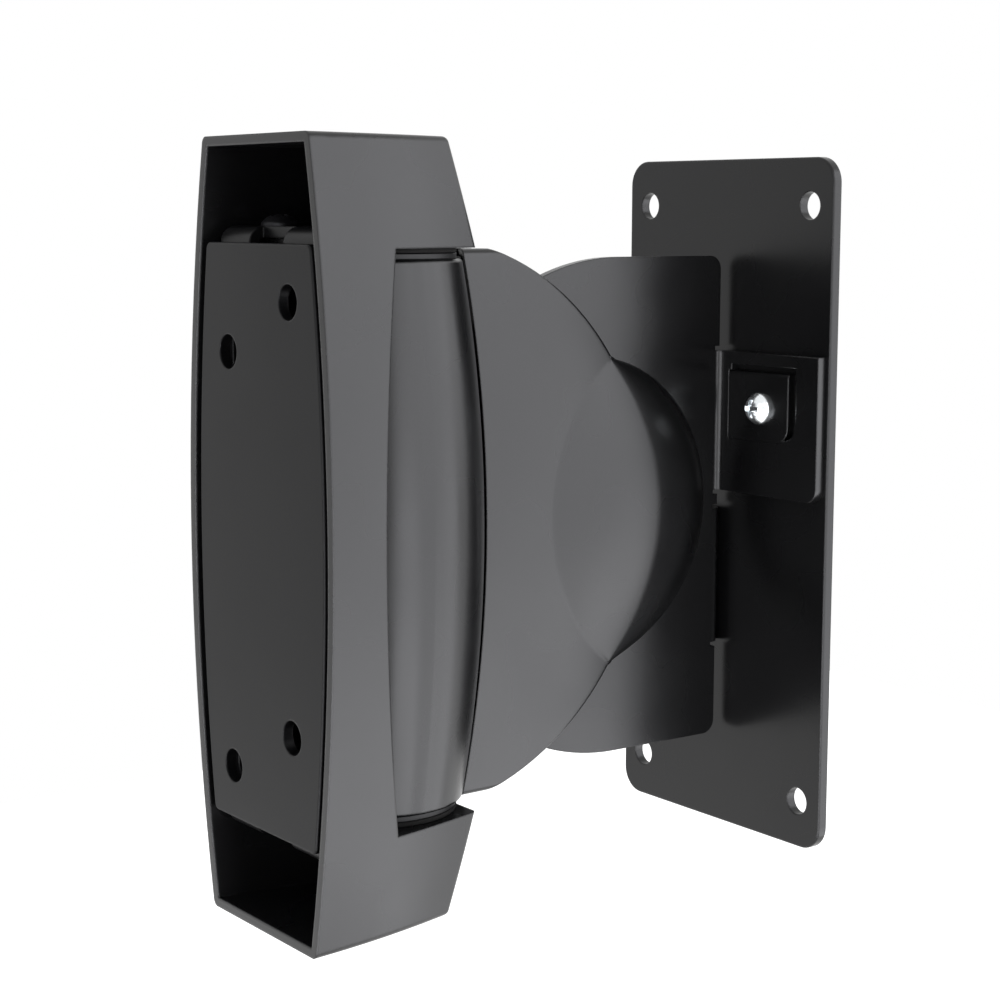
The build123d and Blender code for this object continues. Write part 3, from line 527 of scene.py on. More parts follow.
@dataclass
class ArmShell:
    """One of the two pressed shells that cover the arm: a shallow wing and a lens-shaped cover over the tilt bolt.

    Args:
        side: which side of the leaf it covers.
        wing_y: place of the wing's centre, mm.
        wing_radius: radius of the wing's round rear edge, mm.
        wing_half_height: height at which the wing is cut flat, mm.
        wing_apex: height of the wing's middle above the leaf's plane, mm.
        wing_drop: how far the wing falls from its middle to its rim, mm.
        edge_round: radius of the wing's rounded edge, mm.
        dome_y: place of the dome's centre, mm.
        dome_radius: radius of the dome's foot, mm.
        dome_edge: radius of the soft edge across the dome, mm.
        edge_reach: how far the soft edge's middle lies behind the line of the wing's rim, mm.
        lens_reach: how far the crease's middle lies before its ends, mm.
        lens_swell: how much the dome swells between its crease and its soft edge, mm.
        lens_lift: how far the dome's soft edge stands above the wing's rim, mm.
        slope: share of the dome's rear fall that is straight.
        foot: height of the shell's open edge above the leaf's plane, mm.
        barrel_y: place of the swivel axis, mm.
        barrel_end: radius of the opening round the barrel at its ends, mm.
        barrel_bulge: how much wider that opening is at its middle, mm.
        wall: thickness of the sheet, mm.
    """

    side: Side
    wing_y: float = -87.1
    wing_radius: float = 58.4
    wing_half_height: float = 56.0
    wing_apex: float = 10.3
    wing_drop: float = 4.5
    edge_round: float = 1.2
    dome_y: float = -42.0
    dome_radius: float = 33.0
    dome_edge: float = 3.0
    edge_reach: float = 3.0
    lens_reach: float = 18.3
    lens_swell: float = 0.5
    lens_lift: float = 4.0
    slope: float = 0.55
    foot: float = 1.5
    barrel_y: float = -95.4
    barrel_end: float = 18.5
    barrel_bulge: float = 4.5
    wall: float = 1.5

    def wing_height(self, y: float, z: float) -> float:
        """Return the wing's height at a place, rounded towards its flat ends, in mm."""
        reach = math.hypot(y - self.wing_y, z)
        sphere = (self.wing_radius**2 + self.wing_drop**2) / (2 * self.wing_drop)
        height = self.wing_apex - sphere + math.sqrt(sphere**2 - reach**2)
        inset = self.wing_half_height - abs(z)
        if inset < self.edge_round:
            height -= self.edge_round - math.sqrt(self.edge_round**2 - (self.edge_round - inset) ** 2)
        return height

    def front(self, x: float, z: float) -> float:
        """Return where the shell's front edge lies beside the barrel, in mm."""
        half = self.wing_half_height
        arc = (half**2 + self.barrel_bulge**2) / (2 * self.barrel_bulge)
        radius = self.barrel_end + self.barrel_bulge - arc + math.sqrt(arc**2 - z**2)
        return self.barrel_y + math.sqrt(radius**2 - x**2)

    def tip(self) -> tuple[float, float]:
        """Return where the dome's foot meets the wing's rim, as y and z in mm."""
        gap = self.dome_y - self.wing_y
        along = (self.wing_radius**2 - self.dome_radius**2 + gap**2) / (2 * gap)
        return self.wing_y + along, math.sqrt(self.wing_radius**2 - along**2)

    def crease(self, z: float) -> float:
        """Return where the dome begins on the wing at a height between its tips, in mm."""
        tip_y, tip_z = self.tip()
        arc = (tip_z**2 + self.lens_reach**2) / (2 * self.lens_reach)
        return tip_y - self.lens_reach + arc - math.sqrt(arc**2 - z**2)

    def rear(self, z: float) -> float:
        """Return where the shell ends at a height, on the dome's foot between the tips or else on the rim, in mm."""
        rim = self.wing_y + math.sqrt(self.wing_radius**2 - z**2)
        if abs(z) >= self.tip()[1]:
            return rim
        return max(rim, self.dome_y + math.sqrt(self.dome_radius**2 - z**2))

    def section(self, z: float) -> Profile:
        """Return the shell's outer section at a height, from the front edge to the rear, as x and y in mm."""
        top = self.wing_apex
        for _ in range(HALVINGS):
            top = self.wing_height(self.front(top, z), z)
        inner = max(0.0, 1 - (z / self.tip()[1]) ** 2)
        rim = self.wing_y + math.sqrt(self.wing_radius**2 - z**2) + self.edge_reach * inner
        height = self.wing_height(rim, z) + self.lens_lift * inner
        rear = max(rim, self.rear(z))
        length = math.hypot(rear - rim, height - self.foot)
        edge = min(self.edge_round + (self.dome_edge - self.edge_round) * inner, 0.4 * length)
        bend = rim - edge
        crease = min(self.crease(z), bend) if inner else bend
        points = [(x, self.front(x, z)) for x in spread(self.foot, top, FRONT_COLUMNS)]
        points += [(self.wing_height(y, z), y) for y in spread(self.front(top, z), crease, WING_COLUMNS)[1:]]
        for share in spread(0.0, 1.0, LENS_COLUMNS):
            y = crease + share * (bend - crease)
            swell = self.lens_lift * share + 4 * share * (1 - share) * self.lens_swell
            points.append((self.wing_height(y, z) + swell * inner, y))
        shares = spread(edge / length, 1.0, FALL_COLUMNS)
        fall = [(share, self.slope * share + (1 - self.slope) * share**3) for share in shares]
        path = [(height - (height - self.foot) * drop, rim + (rear - rim) * share) for share, drop in fall]
        start, corner, end = Vector(points[-1]), Vector((height, rim)), Vector(path[0])
        for share in spread(0.0, 1.0, BEND_COLUMNS)[1:-1]:
            points.append(tuple((1 - share) ** 2 * start + 2 * share * (1 - share) * corner + share**2 * end))
        return points + path

    def rows(self) -> list[float]:
        """Return the heights of the sections, closer together near the dome's corners and the flat edges."""
        corner = self.tip()[1]
        flat = self.wing_half_height - self.edge_round
        upper = eased(0.0, corner, DOME_ROWS)[1:] + spread(corner, flat, WING_ROWS)[1:]
        upper += eased(flat, self.wing_half_height, EDGE_ROWS)[1:]
        return [-z for z in reversed(upper)] + [0.0] + upper

    def build(self, material: bpy.types.Material) -> bpy.types.Object:
        """Build the shell and hand it to the arm.

        Args:
            material: its finish.

        Returns:
            The finished piece.
        """
        node = f"arm_shell_{self.side.value}"
        sign = 1 if self.side is Side.RIGHT else -1
        rows = self.rows()
        grid = [[(x, y, z) for x, y in self.section(z)] for z in rows]
        grid.insert(0, [(self.foot, y, z) for _, y, z in grid[0]])
        grid.append([(self.foot, y, z) for _, y, z in grid[-1]])
        shape = bmesh.new()
        verts = [[shape.verts.new(MM * Vector((sign * x, y, z))) for x, y, z in row] for row in grid]
        for one, two in zip(verts, verts[1:]):
            for index in range(len(one) - 1):
                shape.faces.new((one[index], one[index + 1], two[index + 1], two[index]))
        bmesh.ops.remove_doubles(shape, verts=shape.verts, dist=MERGE_GAP)
        bmesh.ops.dissolve_degenerate(shape, edges=shape.edges, dist=SLIVER)
        if sum(face.normal.x * face.calc_area() for face in shape.faces) * sign < 0:
            bmesh.ops.reverse_faces(shape, faces=shape.faces)
        mesh = bpy.data.meshes.new(node)
        shape.to_mesh(mesh)
        shape.free()
        blank = bpy.data.objects.new(f"{node}_blank", mesh)
        bpy.context.scene.collection.objects.link(blank)
        sheet = blank.modifiers.new("sheet", "SOLIDIFY")
        sheet.thickness = self.wall * MM
        sheet.offset = -1.0
        shell = bake(blank)
        half = self.wing_half_height * MM
        for vert in shell.vertices:
            vert.co.x = sign * max(sign * vert.co.x, self.foot * MM)
            vert.co.z = max(-half, min(vert.co.z, half))
            rear = self.rear(vert.co.z / MM) * MM
            if vert.co.y > rear + MERGE_GAP:
                vert.co.y = rear - self.wall * MM / 2
        piece = finish_mesh(f"{node}_skin", shell, material)
        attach(piece, BODY_ARM)
        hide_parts(node)
        return piece


@dataclass
class SwivelBearing:
    """Flanged bushes in the barrel's ends and the friction discs between them and the casing.

    Args:
        axis_y: place of the swivel axis, mm.
        bore: radius of the bush's bore, mm.
        sleeve: radius of the bush's sleeve, mm.
        sleeve_length: length of the sleeve, mm.
        flange: radius of the flange and of the disc, mm.
        barrel_half: half height of the barrel, mm.
        flange_top: height of the flange's outer face, mm.
        disc_bore: radius of the disc's bore, mm.
        disc_bottom: height of the disc's inner face, mm.
        disc_top: height of the disc's outer face, mm.
        break_edge: size of the broken edges, mm.
    """

    axis_y: float = -95.4
    bore: float = 4.05
    sleeve: float = 6.05
    sleeve_length: float = 14.0
    flange: float = 16.6
    barrel_half: float = 54.2
    flange_top: float = 55.4
    disc_bore: float = 4.3
    disc_bottom: float = 55.5
    disc_top: float = 56.4
    break_edge: float = 0.15

    def bush_outline(self) -> Profile:
        """Return the upper bush's outline as radius and height, mm."""
        edge = self.break_edge
        return [
            (self.bore, self.barrel_half - self.sleeve_length), (self.sleeve, self.barrel_half - self.sleeve_length),
            (self.sleeve, self.barrel_half), (self.flange - edge, self.barrel_half),
            (self.flange, self.barrel_half + edge), (self.flange, self.flange_top - edge),
            (self.flange - edge, self.flange_top), (self.bore, self.flange_top),
        ]

    def disc_outline(self) -> Profile:
        """Return the upper disc's outline as radius and height, mm."""
        edge = self.break_edge
        return [
            (self.disc_bore, self.disc_bottom), (self.flange - edge, self.disc_bottom),
            (self.flange, self.disc_bottom + edge), (self.flange, self.disc_top - edge),
            (self.flange - edge, self.disc_top), (self.disc_bore, self.disc_top),
        ]

    def build(self, nylon: bpy.types.Material, fibre: bpy.types.Material) -> None:
        """Build the two bushes on the arm and the pair of discs on the head.

        Args:
            nylon: the bushes' finish.
            fibre: the discs' finish.
        """
        centre = (0.0, self.axis_y, 0.0)
        upper = self.bush_outline()
        for name, outline in (("swivel_bush_upper", upper), ("swivel_bush_lower", flipped(upper))):
            piece = finish_mesh(f"{name}_turned", lathe([outline], centre), nylon)
            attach(piece, BODY_ARM)
            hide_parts(name)
        disc = self.disc_outline()
        discs = finish_mesh("swivel_friction_discs_turned", lathe([disc, flipped(disc)], centre), fibre)
        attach(discs, BODY_HEAD)
        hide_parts("swivel_friction_discs")


def flipped(outline: Profile) -> Profile:
    """Return an outline turned upside down."""
    return [(radius, -height) for radius, height in reversed(outline)]


@dataclass(frozen=True)
class ScrewSize:
    """Sizes of a fastener, mm.

    Args:
        head_radius: radius of the head, or half of a hexagon across its flats.
        head_height: height of the head above its seat.
        shank_radius: outer radius of the thread.
        shank_length: length of the shank below the seat.
        thread_length: length of its threaded end.
        pitch: distance between two turns of the thread.
        recess_width: width of the cross recess's arms.
        recess_depth: depth of the cross recess.
    """

    head_radius: float
    head_height: float
    shank_radius: float
    shank_length: float
    thread_length: float
    pitch: float
    recess_width: float = 1.1
    recess_depth: float = 1.3


def socket_name(size: str) -> str:
    """Return the name of the tree input that takes one of a fastener's sizes."""
    return size.replace("_", " ").title()


def start_tree(name: TreeName) -> tuple[NodeChain, bpy.types.NodeInputs]:
    """Begin a geometry node tree with the inputs that all fasteners share.

    Args:
        name: the tree's name.

    Returns:
        The tree's node chain and the outputs of its input node.
    """
    tree = bpy.data.node_groups.new(name.value, "GeometryNodeTree")
    add_sockets(
        tree,
        [
            Socket("Seats", "NodeSocketGeometry"),
            *(Socket(socket_name(size), "NodeSocketFloat") for size in ScrewSize.__dataclass_fields__),
            Socket("Finish", "NodeSocketMaterial"),
        ],
        [Socket("Fasteners", "NodeSocketGeometry")],
    )
    chain = NodeChain(tree)
    return chain, chain.add("NodeGroupInput").outputs


def moved(chain: NodeChain, shape: NodeOutput, height: float | NodeOutput) -> NodeOutput:
    """Add nodes that lift a shape along its axis and return the lifted shape."""
    offset = chain.add("ShaderNodeCombineXYZ", {"Z": height}).outputs[0]
    return chain.add("GeometryNodeTransform", {"Geometry": shape, "Translation": offset}).outputs[0]


def threaded_shank(chain: NodeChain, sizes: bpy.types.NodeInputs) -> NodeOutput:
    """Add the nodes of a shank below the seat with a helical thread round it.

    Args:
        chain: the tree's node chain.
        sizes: the outputs of the tree's input node.

    Returns:
        The shank's geometry.
    """
    depth = math_node(chain, "MULTIPLY", sizes["Pitch"], THREAD_DEPTH_SHARE)
    core_radius = math_node(chain, "SUBTRACT", sizes["Shank Radius"], depth)
    core = chain.add(
        "GeometryNodeMeshCylinder",
        {"Vertices": 32, "Side Segments": 1, "Radius": core_radius, "Depth": sizes["Shank Length"]},
    ).outputs["Mesh"]
    middle = math_node(chain, "MULTIPLY", sizes["Shank Length"], -0.5)
    turns = math_node(chain, "DIVIDE", sizes["Thread Length"], sizes["Pitch"])
    helix = chain.add(
        "GeometryNodeCurveSpiral",
        {
            "Resolution": 24,
            "Rotations": turns,
            "Start Radius": core_radius,
            "End Radius": core_radius,
            "Height": sizes["Thread Length"],
        },
    ).outputs[0]
    ridge = chain.add("GeometryNodeCurvePrimitiveCircle", {"Resolution": 6, "Radius": depth}).outputs["Curve"]
    sweep = {"Curve": helix, "Profile Curve": ridge, "Fill Caps": True}
    thread = chain.add("GeometryNodeCurveToMesh", sweep).outputs[0]
    start = math_node(chain, "ADD", math_node(chain, "MULTIPLY", sizes["Shank Length"], -1.0), depth)
    join = chain.add("GeometryNodeJoinGeometry")
    chain.tree.links.new(moved(chain, core, middle), join.inputs[0])
    chain.tree.links.new(moved(chain, thread, start), join.inputs[0])
    return join.outputs[0]


def end_tree(chain: NodeChain, sizes: bpy.types.NodeInputs, parts: list[NodeOutput]) -> None:
    """Add the nodes that set the finished fastener on every seat and end the tree.

    Args:
        chain: the tree's node chain.
        sizes: the outputs of the tree's input node.
        parts: the fastener's parts, with its seat on the origin and its head upwards.
    """
    join = chain.add("GeometryNodeJoinGeometry")
    for part in parts:
        chain.tree.links.new(part, join.inputs[0])
    seat = chain.add("GeometryNodeInputNamedAttribute", {"Name": SEAT_WAY}, data_type="FLOAT_VECTOR")
    turn = chain.add("FunctionNodeAlignRotationToVector", {"Vector": seat.outputs["Attribute"]}, axis="Z").outputs[0]
    placed = chain.add(
        "GeometryNodeInstanceOnPoints",
        {"Points": sizes["Seats"], "Instance": join.outputs[0], "Rotation": turn},
    ).outputs[0]
    real = chain.add("GeometryNodeRealizeInstances", {"Geometry": placed}).outputs[0]
    finished = chain.add("GeometryNodeSetMaterial", {"Geometry": real, "Material": sizes["Finish"]}).outputs[0]
    chain.add("NodeGroupOutput", {0: finished})


def build_pan_head_tree() -> None:
    """Build the tree of a pan head screw with a cross recess and a thread."""
    chain, sizes = start_tree(TreeName.PAN_HEAD)
    drum = chain.add(
        "GeometryNodeMeshCylinder",
        {"Vertices": 64, "Side Segments": 10, "Fill Segments": 12, "Radius": 1.0, "Depth": 1.0},
    ).outputs["Mesh"]
    place = chain.add("GeometryNodeInputPosition").outputs[0]
    axes = chain.add("ShaderNodeSeparateXYZ", {0: place}).outputs
    level = math_node(chain, "ADD", axes["Z"], 0.5)
    flat = chain.add("ShaderNodeVectorMath", {0: place, 1: (1.0, 1.0, 0.0)}, operation="MULTIPLY").outputs[0]
    reach = chain.add("ShaderNodeVectorMath", {0: flat}, operation="LENGTH").outputs["Value"]
    square = math_node(chain, "MULTIPLY", math_node(chain, "POWER", reach, 2.0), PAN_HOLLOW)
    drop = math_node(chain, "SQRT", math_node(chain, "SUBTRACT", 1.0, square))
    height = math_node(chain, "MULTIPLY", math_node(chain, "MULTIPLY", level, drop), sizes["Head Height"])
    draft = math_node(chain, "MULTIPLY", math_node(chain, "POWER", level, 3.0), PAN_DRAFT)
    narrow = math_node(chain, "SUBTRACT", 1.0, draft)
    width = math_node(chain, "MULTIPLY", narrow, sizes["Head Radius"])
    new_x = math_node(chain, "MULTIPLY", axes["X"], width)
    new_y = math_node(chain, "MULTIPLY", axes["Y"], width)
    target = chain.add("ShaderNodeCombineXYZ", {"X": new_x, "Y": new_y, "Z": height}).outputs[0]
    head = chain.add("GeometryNodeSetPosition", {"Geometry": drum, "Position": target}).outputs[0]
    arm = math_node(chain, "MULTIPLY", sizes["Head Radius"], SLOT_REACH)
    deep = math_node(chain, "MULTIPLY", sizes["Recess Depth"], 2.0)
    cut = chain.add("GeometryNodeMeshBoolean", {"Mesh 1": head}, operation="DIFFERENCE", solver="EXACT")
    for long_x, long_y in ((arm, sizes["Recess Width"]), (sizes["Recess Width"], arm)):
        size = chain.add("ShaderNodeCombineXYZ", {"X": long_x, "Y": long_y, "Z": deep}).outputs[0]
        slot = chain.add("GeometryNodeMeshCube", {"Size": size}).outputs["Mesh"]
        chain.tree.links.new(moved(chain, slot, sizes["Head Height"]), cut.inputs["Mesh 2"])
    end_tree(chain, sizes, [cut.outputs["Mesh"], threaded_shank(chain, sizes)])


def hexagon(chain: NodeChain, sizes: bpy.types.NodeInputs) -> NodeOutput:
    """Add the nodes of a hexagon on its seat with its corners chamfered away.

    Args:
        chain: the tree's node chain.
        sizes: the outputs of the tree's input node.

    Returns:
        The hexagon's geometry.
    """
    corners = math_node(chain, "MULTIPLY", sizes["Head Radius"], 2.0 / math.sqrt(3.0))
    prism = chain.add(
        "GeometryNodeMeshCylinder", {"Vertices": 6, "Radius": corners, "Depth": sizes["Head Height"]},
    ).outputs["Mesh"]
    top = math_node(chain, "MULTIPLY", sizes["Head Radius"], CHAMFER_START)
    bottom = math_node(chain, "ADD", top, math_node(chain, "MULTIPLY", sizes["Head Height"], CHAMFER_FALL))
    cone = chain.add(
        "GeometryNodeMeshCone",
        {"Vertices": 64, "Radius Top": top, "Radius Bottom": bottom, "Depth": sizes["Head Height"]},
    ).outputs["Mesh"]
    half = math_node(chain, "MULTIPLY", sizes["Head Height"], 0.5)
    both = chain.add("GeometryNodeMeshBoolean", operation="INTERSECT", solver="EXACT")
    chain.tree.links.new(moved(chain, prism, half), both.inputs["Mesh 2"])
    chain.tree.links.new(cone, both.inputs["Mesh 2"])
    return both.outputs["Mesh"]


def build_bolt_tree() -> None:
    """Build the tree of a hexagon bolt with a chamfered head and a thread."""
    chain, sizes = start_tree(TreeName.HEXAGON)
    end_tree(chain, sizes, [hexagon(chain, sizes), threaded_shank(chain, sizes)])


def build_nut_tree() -> None:
    """Build the tree of a hexagon nut with a bore."""
    chain, sizes = start_tree(TreeName.NUT)
    deep = math_node(chain, "MULTIPLY", sizes["Head Height"], 4.0)
    bore = chain.add(
        "GeometryNodeMeshCylinder", {"Vertices": 48, "Radius": sizes["Shank Radius"], "Depth": deep},
    ).outputs["Mesh"]
    ring = chain.add(
        "GeometryNodeMeshBoolean", {"Mesh 1": hexagon(chain, sizes), "Mesh 2": bore}, operation="DIFFERENCE",
    ).outputs["Mesh"]
    end_tree(chain, sizes, [ring])


@dataclass
class Fasteners:
    """Equal fasteners that sit on one body and replace one CAD node.

    Args:
        node: the CAD node that they replace.
        body: the body that they ride on.
        tree: the tree that makes them.
        size: their sizes.
        seats: where each one's seat is, mm, and which way its head points.
    """

    node: str
    body: str
    tree: TreeName
    size: ScrewSize
    seats: list[tuple[Point, Point]]

    def build(self, material: bpy.types.Material) -> bpy.types.Object:
        """Build the fasteners and hand them to their body.

        Args:
            material: their finish.

        Returns:
            The finished piece.
        """
        mesh = bpy.data.meshes.new(self.node)
        mesh.from_pydata([MM * Vector(place) for place, _ in self.seats], [], [])
        ways = mesh.attributes.new(SEAT_WAY, "FLOAT_VECTOR", "POINT")
        for index, (_, way) in enumerate(self.seats):
            ways.data[index].vector = way
        blank = bpy.data.objects.new(f"{self.node}_seats", mesh)
        bpy.context.scene.collection.objects.link(blank)
        maker = blank.modifiers.new("fasteners", "NODES")
        maker.node_group = bpy.data.node_groups[self.tree.value]
        values = {socket_name(name): size * MM for name, size in vars(self.size).items()}
        values["Finish"] = material
        for item in maker.node_group.interface.items_tree:
            if item.name in values:
                maker[item.identifier] = values[item.name]
        piece = finish_mesh(f"{self.node}_threaded", bake(blank), material)
        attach(piece, self.body)
        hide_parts(self.node)
        return piece


@dataclass
class WallMount:
    """Wall plate, folded leaf and its lock, which stay on the wall.

    Args:
        lock_seat: place of the lock screw's seat, mm.
        lock_size: sizes of the lock screw.
    """

    lock_seat: Point = (14.3, -4.4, 21.0)
    lock_size: ScrewSize = ScrewSize(3.6, 3.2, 2.0, 4.2, 3.4, 0.7)

    def build(self, shelf: FinishShelf) -> None:
        """Dress the plate, the leaf and the catch, and build the lock screw."""
        shelf.dress("wall_plate", "coat_plate")
        for node in ("leaf_bracket", "lock_catch"):
            shelf.dress(node, "coat_leaf")
        shelf.dress("tilt_bush", "nylon_black")
        shelf.dress("tilt_friction_discs", "friction_fibre")
        shelf.dress("lock_screw", "bright_zinc")
        screw = Fasteners(
            "lock_screw", BODY_WALL, TreeName.PAN_HEAD, self.lock_size, [(self.lock_seat, (0.0, -1.0, 0.0))],
        )
        screw.build(shelf.materials["bright_zinc"])


@dataclass
class TiltArm:
    """Knuckle, shells and bearing that tilt on the leaf.

    Args:
        shells: the right and left shell.
        bearing: the swivel bearing.
    """

    shells: tuple[ArmShell, ArmShell] = field(default_factory=lambda: (ArmShell(Side.RIGHT), ArmShell(Side.LEFT)))
    bearing: SwivelBearing = field(default_factory=SwivelBearing)

    def build(self, shelf: FinishShelf) -> None:
        """Dress the knuckle and the tilt fasteners, and build the shells and the bearing."""
        shelf.dress("knuckle", "coat_arm")
        for node in ("shell_screws_right", "shell_screws_left", "tilt_bolt", "tilt_spring_washer", "tilt_nut"):
            shelf.dress(node, "black_zinc")
        for shell in self.shells:
            shelf.dress(f"arm_shell_{shell.side.value}", "coat_arm")
            shell.build(shelf.materials["coat_arm"])
        for node in ("swivel_bush_upper", "swivel_bush_lower"):
            shelf.dress(node, "nylon_black")
        shelf.dress("swivel_friction_discs", "friction_fibre")
        self.bearing.build(shelf.materials["nylon_black"], shelf.materials["friction_fibre"])


@dataclass
class SwivelHead:
    """Casing, frame and speaker plate that swivel on the arm.

    Args:
        axis_y: place of the swivel axis, mm.
        bolt_seat: height of the swivel bolt's seat, mm.
        bolt_size: sizes of the swivel bolt.
        nut_seat: height of the nut's seat, mm.
        nut_size: sizes of the nut.
        screw_x: half distance of the shelf screws, mm.
        screw_y: place of the shelf screws, mm.
        screw_seat: height of their seats, mm.
        screw_size: their sizes.
    """

    axis_y: float = -95.4
    bolt_seat: float = 62.0
    bolt_size: ScrewSize = ScrewSize(6.5, 5.3, 4.0, 133.2, 24.0, 1.25)
    nut_seat: float = -63.2
    nut_size: ScrewSize = ScrewSize(6.5, 6.8, 4.05, 0.0, 0.0, 1.25)
    screw_x: float = 12.0
    screw_y: float = -109.0
    screw_seat: float = 60.4
    screw_size: ScrewSize = ScrewSize(3.8, 2.4, 2.0, 4.0, 3.4, 0.7)

    def build(self, shelf: FinishShelf) -> None:
        """Dress the casing, the frame and the speaker plate, and build their fasteners."""
        shelf.dress("casing", "coat_casing")
        shelf.dress("swivel_frame", "coat_speaker_plate")
        shelf.dress("speaker_plate", "coat_speaker_plate")
        for node in ("shelf_screws", "swivel_bolt", "swivel_washers", "swivel_spring_washer", "swivel_nut"):
            shelf.dress(node, "black_zinc")
        up, down = (0.0, 0.0, 1.0), (0.0, 0.0, -1.0)
        bolt_place = (0.0, self.axis_y, self.bolt_seat)
        nut_place = (0.0, self.axis_y, self.nut_seat)
        screws = [((x, self.screw_y, self.screw_seat), up) for x in (-self.screw_x, self.screw_x)]
        screws += [((x, self.screw_y, -self.screw_seat), down) for x in (-self.screw_x, self.screw_x)]
        for fasteners in (
            Fasteners("swivel_bolt", BODY_HEAD, TreeName.HEXAGON, self.bolt_size, [(bolt_place, up)]),
            Fasteners("swivel_nut", BODY_HEAD, TreeName.NUT, self.nut_size, [(nut_place, down)]),
            Fasteners("shelf_screws", BODY_HEAD, TreeName.PAN_HEAD, self.screw_size, screws),
        ):
            fasteners.build(shelf.materials["black_zinc"])


@dataclass
class PhotoCamera:
    """The camera, fitted to the photograph's straight edges.

    Args:
        focal_pixels: focal length in pixels of a picture 1000 pixels wide.
        azimuth: direction of the camera from the object, degrees from -Y towards +X.
        elevation: degrees above the horizon.
        roll: turn about the line of sight, degrees.
        aim: point that the camera looks at before its sideways and upward shift, in mm.
        across: shift of that point to the camera's right, in mm.
        above: shift of that point upwards, in mm.
        distance: distance from that point, in mm.
    """

    focal_pixels: float = 2095.29
    azimuth: float = 53.9186
    elevation: float = 7.7506
    roll: float = 0.1729
    aim: Point = (0.0, -60.0, 0.0)
    across: float = -3.3013
    above: float = 3.5216
    distance: float = 439.191

    def build(self) -> bpy.types.Object:
        """Return the scene's camera."""
        turn, rise, roll = (math.radians(value) for value in (self.azimuth, self.elevation, self.roll))
        back = Vector((math.sin(turn) * math.cos(rise), -math.cos(turn) * math.cos(rise), math.sin(rise)))
        level = Vector((math.cos(turn), math.sin(turn), 0.0))
        up = back.cross(level)
        right = math.cos(roll) * level + math.sin(roll) * up
        up = -math.sin(roll) * level + math.cos(roll) * up
        place = Vector(self.aim) + self.across * right + self.above * up + self.distance * back
        data = bpy.data.cameras.new("photo_camera")
        data.sensor_width = 36.0
        data.lens = data.sensor_width * self.focal_pixels / 1000.0
        data.clip_start = 0.01
        camera = bpy.data.objects.new("photo_camera", data)
        axes = Matrix((right, up, back)).transposed().to_4x4()
        camera.matrix_world = Matrix.Translation(place * MM) @ axes
        bpy.context.scene.collection.objects.link(camera)
        bpy.context.scene.camera = camera
        return camera


@dataclass(frozen=True)
class Softbox:
    """One upright softbox on a ring round the bracket, which shows as sheen on its coat.

    Args:
        azimuth: its direction from the bracket, degrees from +X towards +Y.
        elevation: its height above the bracket's middle, degrees.
        power: its power in watts.
        distance: its distance in metres.
        size: its width and height in metres.
        aim: the point that it faces, in metres.
        colour: the colour of its light.
    """

    azimuth: float
    elevation: float
    power: float
    distance: float = 1.3
    size: tuple[float, float] = (0.58, 0.95)
    aim: Point = (0.0, -0.06, 0.0)
    colour: Colour = (0.95, 0.955, 1.0)

    def build(self) -> bpy.types.Object:
        """Return the lamp."""
        turn, rise = math.radians(self.azimuth), math.radians(self.elevation)
        way = Vector((math.cos(turn) * math.cos(rise), math.sin(turn) * math.cos(rise), math.sin(rise)))
        name = f"softbox_{self.azimuth:.0f}_{self.elevation:.0f}"
        data = bpy.data.lights.new(name, "AREA")
        data.shape = "RECTANGLE"
        data.size, data.size_y = self.size
        data.energy = self.power
        data.color = self.colour
        lamp = bpy.data.objects.new(name, data)
        lamp.location = Vector(self.aim) + self.distance * way
        lamp.rotation_euler = (-way).to_track_quat("-Z", "Y").to_euler()
        lamp.visible_diffuse = False
        bpy.context.scene.collection.objects.link(lamp)
        return lamp


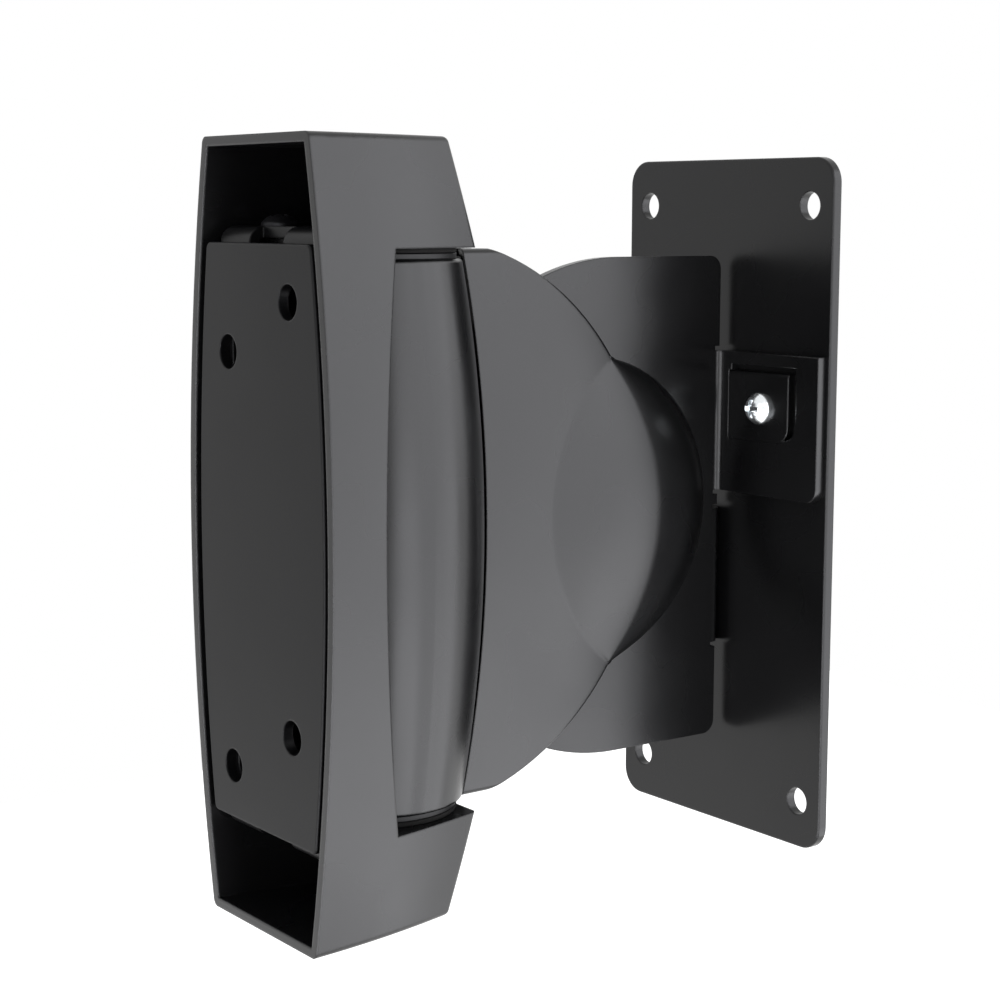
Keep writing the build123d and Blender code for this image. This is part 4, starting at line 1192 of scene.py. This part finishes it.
@dataclass
class Studio:
    """White studio: world, floor and softboxes.

    Args:
        world_strength: light that the world throws on the object.
        floor_z: height of the floor in metres.
        floor_half: half of the floor's width in metres.
        floor_glow: white that the floor adds for the camera, to which its shadows are kept.
        lamps: azimuth, elevation and power of each softbox.
    """

    world_strength: float = 0.8
    floor_z: float = -0.95
    floor_half: float = 3.0
    floor_glow: float = 0.7
    lamps: tuple[tuple[float, float, float], ...] = (
        (0, 18, 4.8), (0, -22, 7.2), (25, 18, 5.0), (25, -22, 4.5), (50, 18, 4.7), (50, -22, 5.1),
        (75, 18, 2.4), (75, -22, 0.8), (-50, 18, 2.0), (-50, -22, 6.4), (-75, -22, 12.5),
    )

    def build(self) -> None:
        """Build the world, the floor and the lamps."""
        self.build_world()
        self.build_floor()
        for lamp in self.lamps:
            Softbox(*lamp).build()
        bpy.context.scene.view_settings.view_transform = "Standard"

    def build_world(self) -> None:
        """Make the world white to the camera and plain grey to the object."""
        world = bpy.data.worlds.new("studio")
        world.use_nodes = True
        world.node_tree.nodes.clear()
        chain = NodeChain(world.node_tree)
        strength = seen_level(chain, self.world_strength, 1.0)
        shade = chain.add("ShaderNodeBackground", {"Color": (1, 1, 1, 1), "Strength": strength})
        output = chain.add("ShaderNodeOutputWorld")
        chain.tree.links.new(shade.outputs[0], output.inputs[0])
        bpy.context.scene.world = world

    def build_floor(self) -> None:
        """Make a pale floor well below the bracket, which is fixed to a wall."""
        mesh = bpy.data.meshes.new("studio_floor")
        half = self.floor_half
        corners = [(x, y, self.floor_z) for x, y in ((-half, -half), (half, -half), (half, half), (-half, half))]
        mesh.from_pydata(corners, [], [(0, 1, 2, 3)])
        floor = bpy.data.objects.new("studio_floor", mesh)
        bpy.context.scene.collection.objects.link(floor)
        material = bpy.data.materials.new("studio_floor")
        material.use_nodes = True
        material.node_tree.nodes.clear()
        chain = NodeChain(material.node_tree)
        diffuse = chain.add("ShaderNodeBsdfDiffuse", {"Color": (0.9, 0.9, 0.9, 1)})
        level = seen_level(chain, 0.0, self.floor_glow)
        glow = chain.add("ShaderNodeEmission", {"Color": (1, 1, 1, 1), "Strength": level})
        both = chain.add("ShaderNodeAddShader", {0: diffuse.outputs[0], 1: glow.outputs[0]})
        output = chain.add("ShaderNodeOutputMaterial")
        chain.tree.links.new(both.outputs[0], output.inputs["Surface"])
        mesh.materials.append(material)


def seen_level(chain: NodeChain, unseen: float, seen: float) -> bpy.types.NodeSocket:
    """Choose one level for the camera, mirrors and glass, and another for plain light.

    Args:
        chain: the node chain of the world or of a stage material.
        unseen: the level for light that falls on the object.
        seen: the level that the camera, glossy surfaces and glass see.

    Returns:
        The socket that gives the level.
    """
    path = chain.add("ShaderNodeLightPath")
    rays = path.outputs
    clear = math_node(chain, "MAXIMUM", rays["Is Camera Ray"], rays["Is Transmission Ray"])
    sees = math_node(chain, "MAXIMUM", clear, rays["Is Glossy Ray"])
    level = chain.add("ShaderNodeMapRange", {"Value": sees, "To Min": unseen, "To Max": seen})
    return level.outputs[0]


def main() -> None:
    """Build the finishes, the three moving groups, the studio and the camera, in that order."""
    logging.basicConfig(level=logging.INFO, format="%(message)s")
    shelf = FinishShelf()
    shelf.build()
    build_pan_head_tree()
    build_bolt_tree()
    build_nut_tree()
    for group in (WallMount(), TiltArm(), SwivelHead()):
        group.build(shelf)
        LOG.info("group %s built", type(group).__name__)
    Studio().build()
    PhotoCamera().build()


if __name__ == "__main__":
    main()
